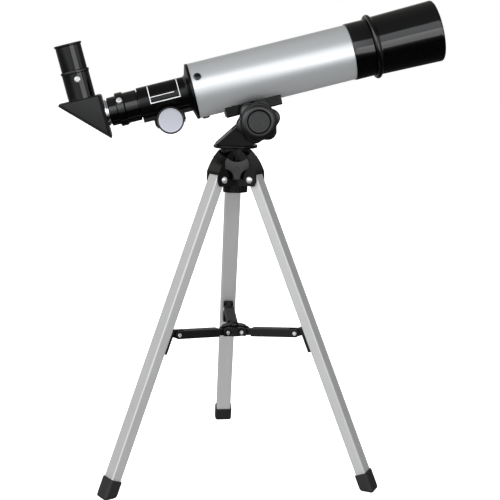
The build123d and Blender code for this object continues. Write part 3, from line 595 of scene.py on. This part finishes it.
def fluted(profile, teeth, depth, steps, centre, side):
    """Profile rows (y, r, w) carried round the shaft, w being how much of the flutes a row has:
    the radius is r - w depth (1 - cos(teeth a)) / 2."""
    rows = np.asarray(profile, float)
    a = np.linspace(0, 2 * np.pi, steps, endpoint=False)
    r = rows[:, 1:2] - rows[:, 2:3] * depth * (1 - np.cos(teeth * a)) / 2
    y = np.broadcast_to(side * rows[:, :1], r.shape)
    grid = np.stack([centre[0] + r * np.cos(a), y, centre[1] + r * np.sin(a)], -1)
    return skin(grid, wrap_rows=True, ends=False)


NECK_FROM, NECK_R, SHAFT_R = 8.85, 5.0, 2.02
knob_rows = eased([(NECK_FROM, SHAFT_R, 0), (NECK_FROM, NECK_R, 0), (KNOB_IN, NECK_R, 0),
                   (KNOB_IN, KNOB_R - 0.9, 0), (KNOB_IN + 0.9, KNOB_R, 1),
                   (KNOB_OUT - 1.0, KNOB_R, 1), (KNOB_OUT - 0.1, KNOB_R - 0.2, 0),
                   (KNOB_OUT + 0.1, KNOB_R - 0.8, 0), (KNOB_OUT - 0.3, DISC_R + 0.05, 0),
                   (KNOB_OUT - 1.2, DISC_R + 0.05, 0), (KNOB_OUT - 1.2, SHAFT_R, 0)], 0.3, steps=4)
drums = [fluted(knob_rows, 60, 0.3, 360, (SHAFT_X, SHAFT_Z), side) for side in (-1, 1)]
make("focus_knob_drums", drums, TUBE, "focus_shaft", ["focus_knobs"], polished_black,
     sharp=35)
disc_rows = eased([(KNOB_OUT - 1.15, 0.0), (KNOB_OUT - 1.15, DISC_R), (KNOB_OUT + 0.25, DISC_R),
                   (KNOB_OUT + 0.5, DISC_R - 0.5), (KNOB_OUT + 0.3, DISC_R - 1.3),
                   (KNOB_OUT + 0.05, 0.0)], 0.35, steps=5, closed=False)
discs = [turned(disc_rows * (side, 1), 128, closed=False, axis=1, at=(SHAFT_X, SHAFT_Z))
         for side in (-1, 1)]
make("focus_knob_discs", discs, TUBE, "focus_shaft", ["focus_knob_caps"], disc_silver)

# %% [markdown]
# Two small thumb screws clamp the diagonal and the eyepiece. Their heads are knurled discs on a
# plain shank, with the same cosine for the knurls. They have no thread, because it would be hidden
# in its hole.

# %% Thumb screws
def thumb_screw(head_r, shank_r, shank_from, head_from, top, teeth=32, steps=192):
    """Rows (h, r, w) of height, radius and flute weight along the screw's own axis, turned with
    the radius r - w 0.22 (1 - cos(teeth a)) / 2."""
    rows = eased([(shank_from, 0.0, 0), (shank_from, shank_r, 0), (head_from, shank_r, 0),
                  (head_from, head_r - 0.3, 0), (head_from + 0.4, head_r, 1),
                  (top - 0.9, head_r, 1), (top - 0.35, head_r - 0.5, 0), (top, head_r - 1.2, 0),
                  (top - 0.15, 0.0, 0)],
                 0.25, steps=4, closed=False)
    a = np.linspace(0, 2 * np.pi, steps, endpoint=False)
    r = rows[:, 1:2] - rows[:, 2:3] * 0.22 * (1 - np.cos(teeth * a)) / 2
    grid = np.stack([r * np.cos(a), r * np.sin(a), np.broadcast_to(rows[:, :1], r.shape)], -1)
    return skin(grid, ends=False)


SHANK_R, SHANK_FROM = 1.5, 12.62
COLLAR_SCREW_X, COLLAR_SCREW_ANGLE = -121.4, 30
verts, faces = thumb_screw(3.2, SHANK_R, SHANK_FROM, 17.62, 21.2)
make("collar_screw_knurled", [(radial(verts, COLLAR_SCREW_X, COLLAR_SCREW_ANGLE), faces)], TUBE,
     "collar_thumb_screw", ["collar_thumb_screw"], plated_steel, sharp=45)
HOLDER_X, HOLDER_SCREW_Z = -157.9, 40.2
verts, faces = thumb_screw(3.3, SHANK_R, SHANK_FROM, 14.4, 18.2)
verts = radial(verts, HOLDER_X + 1.6, 0) + (0, 0, HOLDER_SCREW_Z)
make("holder_screw_knurled", [(verts, faces)], TUBE, "holder_thumb_screw", ["holder_thumb_screw"],
     plated_steel, sharp=45)

# %% [markdown]
# ## Diagonal and eyepiece
#
# The diagonal is a three-cornered box with a mirror inside and a tube for the eyepiece on top. The
# box is a moulded copy. Its two flat sides are stippled and dull, and a second finish on one mesh
# would need its faces picked out, so each side gets a thin plate of its own.

# %% Diagonal box and its side plates
moulded("diagonal_body", 0.5, casting_black, "diagonal", TUBE)
BOX_HALF = 15.0
panel = eased([(-179.9, 19.0), (-141.0, 19.0), (-141.0, -20.0)], 1.6, steps=6)
panels = [prism(panel, BOX_HALF - 0.3, BOX_HALF + 0.25, 0.2),
          prism(panel, -BOX_HALF - 0.25, -BOX_HALF + 0.3, 0.2)]
make("diagonal_side_panels", panels, TUBE, "diagonal", ["diagonal_body"], side_black)
moulded("diagonal_cover", 0.45, matt_black, "diagonal", TUBE)

# %% [markdown]
# A chrome barrel plugs the diagonal into the draw tube, and a polished tube above the box holds the
# eyepiece. Both are round, so both are turned, and the polished one is a thin skin over the
# moulded copy.

# %% Diagonal barrel and eyepiece holder
BARREL = [(-140.2, 11.2), (-109.0, 11.2), (-109.0, 11.6), (-110.5, 12.25), (-135.8, 12.25),
          (-135.8, 13.35), (-137.9, 13.35), (-137.9, 12.25), (-140.2, 12.25)]
make("diagonal_barrel_turned", [turned(eased(BARREL, 0.3), 128)], TUBE, "diagonal",
     ["diagonal_barrel"], chrome)

HOLDER_R, HOLDER_BASE, HOLDER_TOP = 13.9, 19.6, 49.25
SKIN_R, LIP_R = HOLDER_R + 0.07, HOLDER_R + 0.66
sleeve = [(HOLDER_BASE, 13.6), (HOLDER_BASE, SKIN_R), (46.4, SKIN_R), (46.8, LIP_R),
          (HOLDER_TOP, LIP_R), (HOLDER_TOP, 12.4), (49.1, 12.4), (49.1, 13.6)]
make("eyepiece_holder_skin",
     [turned(eased(sleeve, 0.35, steps=4), 160, axis=2, at=(HOLDER_X, 0))], TUBE, "diagonal",
     ["diagonal_body"], polished_black, sharp=35)

# %% [markdown]
# The eyepiece is a smooth turned body with a flange and a cup for the eye. Its eye lens is flat
# below and domed above, from the same spherical faces as the objective, and its chrome sleeve
# slides in the holder.

# %% Eyepiece
EYE_R, EYE_LOW, EYE_TOP = 13.2, 49.28, 76.6
FLANGE_R, CUP_R, CUP_LOW, SLEEVE_R = 14.1, 8.6, 72.4, 12.25
body_rows = [(EYE_LOW, SLEEVE_R + 0.02), (EYE_LOW, EYE_R), (74.4, EYE_R), (74.9, FLANGE_R),
             (EYE_TOP, FLANGE_R), (EYE_TOP, CUP_R), (CUP_LOW, 4.6), (CUP_LOW, 6.6), (64.0, 6.6),
             (64.0, 9.1), (52.5, 9.1), (52.5, SLEEVE_R + 0.02)]
make("eyepiece_shell",
     [turned(eased(body_rows, 0.4, steps=5), 160, axis=2, at=(HOLDER_X, 0))], TUBE, "eyepiece",
     ["eyepiece_body"], polished_black, sharp=35)
EYE_LENS_R, LOW_POLE, LOW_CURVE, HIGH_POLE, HIGH_CURVE = 6.4, 68.0, -400, 71.4, 16
h = np.linspace(0, EYE_LENS_R, 16)
low = np.stack([bulge(LOW_POLE, LOW_CURVE, h), h], 1)
high = np.stack([bulge(HIGH_POLE, HIGH_CURVE, h), h], 1)[::-1]
eye_lens = turned(np.concatenate([low, high]), 96, closed=False, axis=2, at=(HOLDER_X, 0))
make("eye_lens_polished", [eye_lens], TUBE, "eyepiece", ["eye_lens"], lens_glass)
sleeve = [(24.0, 11.3), (24.0, SLEEVE_R), (52.4, SLEEVE_R), (52.4, 11.3)]
make("eyepiece_sleeve", [turned(eased(sleeve, 0.3), 128, axis=2, at=(HOLDER_X, 0))], TUBE,
     "eyepiece", ["eyepiece_barrel"], chrome)

# %% [markdown]
# ## Saddle, head and altitude knob
#
# The saddle under the tube and the leaning head are castings with flat cheeks, a slot and screw
# holes, so both are moulded copies.

# %% Saddle and head
moulded("tube_saddle", 0.6, casting_black, "tube", TUBE)
moulded("pan_head", 0.7, casting_black, "pan_head", ALTITUDE)

# %% [markdown]
# The altitude knob has six lobes for the hand. Seven cylinders joined together would leave a crease
# between each two. Here the rim is one formula, the larger of a plain circle and six smaller
# circles set on it, blended where they meet, and the side of the knob is carried round it.

# %% Altitude knob
LOBES, LOBE_OUT, LOBE_R, RIM_R, LOBE_TURN, BLEND = 6, 14.6, 8.6, 19.9, 16, 1.1


def lobed_rim(a):
    """Distance from the axle to the rim at the angle a: the smooth maximum of the circle's radius
    and c cos f + sqrt(l^2 - c^2 sin^2 f), where f is the angle from the nearest lobe."""
    part = 2 * np.pi / LOBES
    f = (a - math.radians(LOBE_TURN) + part / 2) % part - part / 2
    root = LOBE_R ** 2 - (LOBE_OUT * np.sin(f)) ** 2
    lobe = LOBE_OUT * np.cos(f) + np.sqrt(np.maximum(root, 0))
    return BLEND * np.log(np.exp(lobe / BLEND) + np.exp((RIM_R - 0.35) / BLEND)) - 0.25


# Each row of the knob's side is (w, r, y): the radius is r, plus the lobed rim where w is 1.
knob_side = eased([(0, 0.0, -12.9), (0, 8.6, -12.9), (0, 8.6, -19.9), (1, -2.4, -19.9),
                   (1, 0.0, -20.6), (1, 0.0, -27.6), (1, -0.6, -29.4), (1, -1.9, -30.3),
                   (0, 18.7, -30.7), (0, 18.2, -32.4), (0, 16.9, -34.3), (0, 14.9, -35.5),
                   (0, 12.7, -35.8), (0, 11.95, -35.3), (0, 11.9, -33.75), (0, 0.0, -33.75)],
                  0.9, steps=5, closed=False)
a = np.linspace(0, 2 * np.pi, 288, endpoint=False)
weight, reach = knob_side[:, :1], knob_side[:, 1:2]
rim = np.maximum(weight * (lobed_rim(a) + reach) + (1 - weight) * reach, 0)
depth = np.broadcast_to(knob_side[:, 2:], rim.shape)
knob_grid = np.stack([rim * np.cos(a), depth, rim * np.sin(a)], -1)
make("altitude_knob_grip", [skin(knob_grid, ends=False)], ALTITUDE, "altitude_knob",
     ["altitude_knob"], grip_black, sharp=50)

# %% [markdown]
# A round grey plug closes the hole in the knob. Fine rings are moulded into its face, each one a
# shallow V in the turned profile, so they shade truly from any side.

# %% Plug of the altitude knob
PLUG_R, PLUG_BACK, PLUG_FACE, RING_DIP, RING_HALF = 11.1, -33.7, -36.2, 0.14, 0.45
rings = [(PLUG_FACE + dip, r + step) for r in np.arange(8.9, 0.5, -1.7)
         for step, dip in ((RING_HALF, 0), (0, RING_DIP), (-RING_HALF, 0))]
plug_side = eased([(PLUG_BACK, 0.0), (PLUG_BACK, PLUG_R), (PLUG_FACE + 0.5, PLUG_R),
                   (PLUG_FACE, PLUG_R - 0.6)] + rings + [(PLUG_FACE, 0.0)], 0.35, steps=5,
                  closed=False)
make("altitude_knob_plug", [turned(plug_side, 128, closed=False, axis=1)], ALTITUDE,
     "altitude_knob", ["altitude_knob_cap"], knob_grey)

# %% [markdown]
# ## Tripod
#
# The crown is the casting that the legs hang from: a dome with three sockets, too involved for
# one surface, so it is a moulded copy.

# %% Crown
moulded("crown", 0.6, casting_black, "crown")

# %% [markdown]
# Between each two sockets stands a flat grey web, hollowed at the top and at both sides by round
# cuts, with a small ring on it. One web is drawn with arcs, as a plate with rounded rims, and
# turned about the upright axis to the three places.

# %% Webs of the crown
WEB_FACE, WEB_HALF, SIDE_CUT, TOP_CUT, TOP_CUT_Z, RING_Z = 20.2, 12.3, 10.5, 14.9, 351.6, 329.4
sweep = np.radians(np.linspace(-43, 43, 18))
top_arc = np.stack([TOP_CUT * np.sin(sweep), TOP_CUT_Z - TOP_CUT * np.cos(sweep)], 1)
sweep = np.radians(np.linspace(78, 8, 14))
right_arc = np.stack([13.4 - SIDE_CUT * np.cos(sweep), 319.0 + SIDE_CUT * np.sin(sweep)], 1)
web = np.concatenate([top_arc, [(WEB_HALF, 336.6), (WEB_HALF, 330.2)], right_arc,
                      [(2.9, 318.6), (-2.9, 318.6)], right_arc[::-1] * (-1, 1),
                      [(-WEB_HALF, 330.2), (-WEB_HALF, 336.6)]])
web_verts, web_faces = prism(web, WEB_FACE - 0.4, WEB_FACE + 0.3, 0.25, axis=0)
small_ring = eased([(WEB_FACE, 1.9), (WEB_FACE + 0.75, 1.9), (WEB_FACE + 0.75, 2.7),
                    (WEB_FACE, 2.7)], 0.2, steps=4)
ring_verts, ring_faces = turned(small_ring, 48, at=(0, RING_Z))
plates = []
for verts, faces in ((web_verts, web_faces), (ring_verts, ring_faces)):
    for azimuth in np.radians((30, 150, 270)):
        c, d = np.cos(azimuth), np.sin(azimuth)
        plates.append((verts @ np.array([(c, d, 0), (-d, c, 0), (0, 0, 1)]), faces))
make("crown_web_plates", plates, UPRIGHT, "crown", ["crown"], knob_grey)

# %% [markdown]
# A rivet holds each leg in its socket. A domed head is a quarter of an ellipse turned round, which
# shades better than a squashed sphere, because its rim stands square on the casting.

# %% Leg rivets
def rivet(x, z, y0, r, high, side, steps=64):
    """Dome h = high sqrt(1 - (p/r)^2) on a face at y0, sunk 0.5 mm into it."""
    a = np.linspace(0, np.pi / 2, 12)
    rows = np.stack([side * (y0 + high * np.sin(a)), r * np.cos(a)], 1)
    rows = np.concatenate([[(side * (y0 - 0.5), 0.0), (side * (y0 - 0.5), r)], rows])
    return turned(rows, steps, closed=False, axis=1, at=(x, z))


PIN_FACE, PIN_R, HEAD_R, HEAD_HIGH = 11.3, 2.0, 3.6, 1.7
pin = [(-PIN_FACE, 0.0), (-PIN_FACE, PIN_R), (PIN_FACE, PIN_R), (PIN_FACE, 0.0)]
for place in PLACES:
    heads = [rivet(0, 0, PIN_FACE, HEAD_R, HEAD_HIGH, side) for side in (-1, 1)]
    heads.append(turned(pin, 48, closed=False, axis=1))
    make("leg_rivet_" + place, heads, LEGS[place], "crown", ["leg_pivot_pins"], plated_steel,
         sharp=45)

# %% [markdown]
# A leg is a box section with rounded corners. A cube with a Bevel modifier would look alike, but a
# stack of outlines along the leg can end in any way it has to, and its foot needs that. The foot is
# a rubber cap with a sole cut level with the floor: at the height z, the place along the leg is
# (z - z0 - x sin s) / cos s, where s is the splay.

# %% Leg section and the cut of the sole
LEG_IN, LEG_OUT, LEG_HALF = -3.2, 7.8, 8.4
LEG_TOP, FOOT_TOP, FOOT_WALL, HINGE_Z = 2.5, 326.4, 1.5, 318.0
corners = [(LEG_IN, -LEG_HALF), (LEG_OUT, -LEG_HALF), (LEG_OUT, LEG_HALF), (LEG_IN, LEG_HALF)]
section = eased(corners, 1.7, steps=8)


def floor_row(loop, z):
    """The outline where the leg meets the level z: w = (z - z0 - x sin s) / cos s along the leg."""
    w = (z - HINGE_Z - loop[:, 0] * math.sin(SPLAY)) / math.cos(SPLAY)
    return np.column_stack([loop, w])


def level_row(loop, w):
    """The outline square across the leg, at the place w along it."""
    return np.column_stack([loop, np.full(len(loop), w)])


print("leg section", LEG_OUT - LEG_IN, "x", 2 * LEG_HALF, "mm")

# %% Legs and feet
stations = np.linspace(LEG_TOP - 0.6, -FOOT_TOP - 6, 40)
for place in PLACES:
    rows = [level_row(inset(section, 0.5), LEG_TOP),
            level_row(inset(section, 0.12), LEG_TOP - 0.15)]
    rows += [level_row(section, w) for w in stations]
    make("leg_box_" + place, [skin(np.array(rows))], LEGS[place], "leg_" + place,
         ["leg_" + place], leg_metal, sharp=50, weighted=True)
    cap_loop = inset(section, -FOOT_WALL)
    rows = [level_row(inset(section, -0.02), -FOOT_TOP),
            level_row(inset(section, -FOOT_WALL + 0.5), -FOOT_TOP - 0.08),
            level_row(inset(section, -FOOT_WALL + 0.1), -FOOT_TOP - 0.5),
            level_row(cap_loop, -FOOT_TOP - 1.2), level_row(cap_loop, -FOOT_TOP - 5)]
    sole = ((0, 3.4), (0.12, 2.0), (0.5, 0.9), (1.1, 0.25), (1.9, 0.0))
    rows += [floor_row(inset(cap_loop, distance) if distance else cap_loop, z)
             for distance, z in sole]
    make("foot_cap_" + place, [skin(np.array(rows))], LEGS[place], "leg_" + place,
         ["foot_" + place], rubber, sharp=50, weighted=True)

# %% [markdown]
# The brace keeps the legs from spreading: a bracket on each leg, an arm from each bracket, and a
# hub between the arms. They have tongues, slots and pin holes that must stay true for the fold, so
# they are moulded copies.

# %% Brackets, brace arms and hub
for place in PLACES:
    moulded("leg_bracket_" + place, 0.4, matt_black, "leg_" + place, LEGS[place])
    moulded("brace_arm_" + place, 0.4, matt_black, "brace_arm_" + place, LEGS[place])
    moulded("arm_pin_" + place, 0.15, plated_steel, "brace_arm_" + place, LEGS[place])
moulded("brace_hub", 0.4, matt_black, "brace_hub")
moulded("hub_rivets", 0.1, plated_steel, "brace_hub")

# %% [markdown]
# A round cap covers the middle of the hub, with a short stem in its hole. Its top falls away in
# three steps that `eased` melts into one dome.

# %% Hub cap
HUB_TOP, HUB_CAP_R, STEM_R = 158.4, 4.8, 1.98
hub_cap_side = eased([(HUB_TOP - 3, 0.0), (HUB_TOP - 3, STEM_R), (HUB_TOP + 0.02, STEM_R),
                      (HUB_TOP + 0.02, HUB_CAP_R), (HUB_TOP + 1.8, HUB_CAP_R),
                      (HUB_TOP + 3.6, HUB_CAP_R - 0.9), (HUB_TOP + 4.6, HUB_CAP_R - 2.6),
                      (HUB_TOP + 4.8, 0.0)], 1.2, steps=6, closed=False)
make("hub_cap_round", [turned(hub_cap_side, 96, closed=False, axis=2)], UPRIGHT, "brace_hub",
     ["hub_cap"], matt_black)

# %% [markdown]
# ## What stays from the CAD
#
# Parts inside the castings have the right shape already, so they keep their meshes and only get a
# finish.

# %% Finishes for the CAD parts that stay
STAYS = {
    matt_black: ["light_baffle", "lens_spacer", "pinion", "field_stop", "leg_plug_back",
                 "leg_plug_left", "leg_plug_right"],
    plated_steel: ["focus_shaft", "pinion_cover_screws", "saddle_screws", "altitude_bolt",
                   "pan_bolt", "pan_washer"],
    lens_glass: ["flint_lens", "field_lens"],
    mirror_glass: ["diagonal_mirror"],
}
for material, names in STAYS.items():
    for name in names:
        part = frame["nodes"][name]
        part.data.materials.clear()
        part.data.materials.append(material)
print("kept from the CAD:", sum(len(names) for names in STAYS.values()))

# %% [markdown]
# ## Room and camera
#
# The floor is a light table: pale, and glowing a little, so that it stays white under a dark
# object. It lies 20 mm below the feet, because the crown keeps its height when the legs fold, and
# the feet swing down by 19 mm. It is one round face, and it is kept out of the reflections.

# %% Floor
FLOOR_R, FLOOR_DROP, FLOOR_STEPS, FLOOR_GLOW = 9.0, 20 * MM, 96, 0.85
floor_mesh = bpy.data.meshes.new("floor")
t = np.linspace(0, 2 * np.pi, FLOOR_STEPS, endpoint=False)
floor_rim = np.column_stack([FLOOR_R * np.cos(t), FLOOR_R * np.sin(t),
                             np.full_like(t, -FLOOR_DROP)])
floor_mesh.from_pydata(floor_rim.tolist(), [], [list(range(FLOOR_STEPS))])
floor = bpy.data.objects.new("floor", floor_mesh)
bpy.context.scene.collection.objects.link(floor)
paper = surface("pale floor", (0.9, 0.9, 0.9), 0, 0.9, specular=0.0)
paper_shader = paper.node_tree.nodes["Principled BSDF"]
paper_shader.inputs["Emission Color"].default_value = (1, 1, 1, 1)
paper_shader.inputs["Emission Strength"].default_value = FLOOR_GLOW
floor_mesh.materials.append(paper)
floor.visible_glossy = False
print("floor at", -FLOOR_DROP, "m")

# %% [markdown]
# Black plastic is drawn by what it mirrors, so the room has one wide window of light in front,
# brightest at its top edge and ending there, with a dim ceiling and dark walls. A dim band behind
# keeps an edge of light on the black parts when they are seen from the back. The room is a world
# shader: two ramps over the height of a direction, one for the window and one for the walls, mixed
# by how far the direction points to the front. It needs no more objects in the scene.

# %% Window and walls of the room
sky = bpy.data.worlds.new("studio")
bpy.context.scene.world = sky
sky.use_nodes = True
nodes, links = sky.node_tree.nodes, sky.node_tree.links
nodes.clear()


def stops(ramp, table, tone=(1, 1, 1)):
    """Sets a ramp's stops from (height, value) pairs, height from -1 at the nadir to 1 overhead."""
    for place, value in table:
        element = ramp.color_ramp.elements.new((place + 1) / 2)
        element.color = (value * tone[0], value * tone[1], value * tone[2], 1)
    ramp.color_ramp.elements.remove(ramp.color_ramp.elements[0])
    ramp.color_ramp.elements.remove(ramp.color_ramp.elements[-1])


where = nodes.new("ShaderNodeTexCoord")
split = nodes.new("ShaderNodeSeparateXYZ")
links.new(where.outputs["Generated"], split.inputs["Vector"])
height = nodes.new("ShaderNodeMapRange")
height.inputs["From Min"].default_value = -1.0
links.new(split.outputs["Z"], height.inputs["Value"])
window = nodes.new("ShaderNodeValToRGB")
stops(window, [(-0.99, 0.004), (-0.5, 0.005), (-0.32, 0.05), (-0.26, 0.24), (0.0, 0.40),
               (0.20, 0.92), (0.30, 1.0), (0.60, 1.0), (0.62, 0.12), (0.99, 0.09)],
      tone=(0.965, 0.98, 1.0))
walls = nodes.new("ShaderNodeValToRGB")
stops(walls, [(-0.99, 0.01), (-0.3, 0.04), (0.0, 0.11), (0.2, 0.13), (0.26, 0.26), (0.44, 0.26),
              (0.48, 0.10), (0.99, 0.09)], tone=(1.0, 1.0, 0.955))
links.new(height.outputs["Result"], window.inputs["Fac"])
links.new(height.outputs["Result"], walls.inputs["Fac"])
front = nodes.new("ShaderNodeMapRange")
front.inputs["From Min"].default_value = 0.20
front.inputs["From Max"].default_value = -0.30
links.new(split.outputs["Y"], front.inputs["Value"])
room = nodes.new("ShaderNodeMix")
room.data_type = "RGBA"
links.new(front.outputs["Result"], room.inputs["Factor"])
links.new(walls.outputs["Color"], room.inputs[6])
links.new(window.outputs["Color"], room.inputs[7])
print("the room's world has", len(nodes), "nodes so far")

# %% [markdown]
# The light is stronger from the left than from the right, which tells the sides of the legs apart.
# A last switch shows plain white wherever the camera sees past the telescope, while everything
# that is lit or mirrored still sees the room.

# %% Left and right of the room
ROOM_LIGHT, LEFT_SHARE, RIGHT_SHARE, SIDE_SPREAD = 2.6, 1.40, 0.45, 0.75
sides = nodes.new("ShaderNodeMapRange")
sides.interpolation_type = "SMOOTHSTEP"
sides.inputs["From Min"].default_value = -SIDE_SPREAD
sides.inputs["From Max"].default_value = SIDE_SPREAD
sides.inputs["To Min"].default_value = LEFT_SHARE * ROOM_LIGHT
sides.inputs["To Max"].default_value = RIGHT_SHARE * ROOM_LIGHT
links.new(split.outputs["X"], sides.inputs["Value"])
lit = nodes.new("ShaderNodeBackground")
links.new(sides.outputs["Result"], lit.inputs["Strength"])
links.new(room.outputs[2], lit.inputs["Color"])
plain = nodes.new("ShaderNodeBackground")
plain.inputs["Color"].default_value = (1, 1, 1, 1)
seen = nodes.new("ShaderNodeLightPath")
choose = nodes.new("ShaderNodeMixShader")
links.new(seen.outputs["Is Camera Ray"], choose.inputs["Fac"])
links.new(lit.outputs["Background"], choose.inputs[1])
links.new(plain.outputs["Background"], choose.inputs[2])
output = nodes.new("ShaderNodeOutputWorld")
links.new(choose.outputs["Shader"], output.inputs["Surface"])
print("light from the left is", round(LEFT_SHARE / RIGHT_SHARE, 1), "times that from the right")

# %% [markdown]
# Two lamps help the room. A soft one overhead lights the tops, and is kept out of the reflections,
# where it would draw a second line on every round part. A low one at the right is only there to be
# mirrored: it draws the long stripe on the dew shield, and lights nothing.

# %% Lamps
overhead = bpy.data.lights.new("overhead", "AREA")
overhead.energy = 14
overhead.size = 1.6
overhead_lamp = bpy.data.objects.new("overhead", overhead)
bpy.context.scene.collection.objects.link(overhead_lamp)
overhead_lamp.location = (0.0, -0.2, 1.9)
overhead_lamp.visible_glossy = False

strip = bpy.data.lights.new("strip", "AREA")
strip.shape = "RECTANGLE"
strip.size, strip.size_y, strip.energy = 0.72, 0.42, 2.2
strip_lamp = bpy.data.objects.new("strip", strip)
bpy.context.scene.collection.objects.link(strip_lamp)
strip_lamp.location = (0.455, -0.912, 0.47)
strip_lamp.rotation_euler = (math.radians(90), 0, math.radians(34))
strip_lamp.visible_camera = False
strip_lamp.visible_diffuse = False
print("lamps:", overhead.energy, "W overhead,", round(strip.energy, 2), "W at the right")

# %% [markdown]
# The camera is a long lens, a little over a metre away and a little above the tube's middle, turned
# by half a degree. It looks along its own minus Z, so its axes are worked out from the eye, the
# target and the roll, and no constraint is needed.

# %% Camera
eye = np.array((-0.09719, -1.15175, 0.45187))
target = np.array((0.0162, -0.0016, 0.24104))
roll = math.radians(0.57)
back = eye - target
back /= np.linalg.norm(back)
side = np.cross((0, 0, 1), back)
side /= np.linalg.norm(side)
top = np.cross(back, side)
right = side * math.cos(roll) + top * math.sin(roll)
top = np.cross(back, right)
SENSOR, FOCAL_LENGTH = 36, 79.52
lens_data = bpy.data.cameras.new("camera")
lens_data.sensor_width = SENSOR
lens_data.lens = FOCAL_LENGTH
lens_data.clip_start, lens_data.clip_end = 0.05, 50
camera = bpy.data.objects.new("camera", lens_data)
bpy.context.scene.collection.objects.link(camera)
turn = Matrix([list(row) for row in np.column_stack([right, top, back])]).to_4x4()
camera.matrix_world = Matrix.Translation(eye.tolist()) @ turn
bpy.context.scene.camera = camera
bpy.context.scene.view_settings.view_transform = "Standard"
print("camera", round(float(np.linalg.norm(eye - target)), 3), "m from its target")
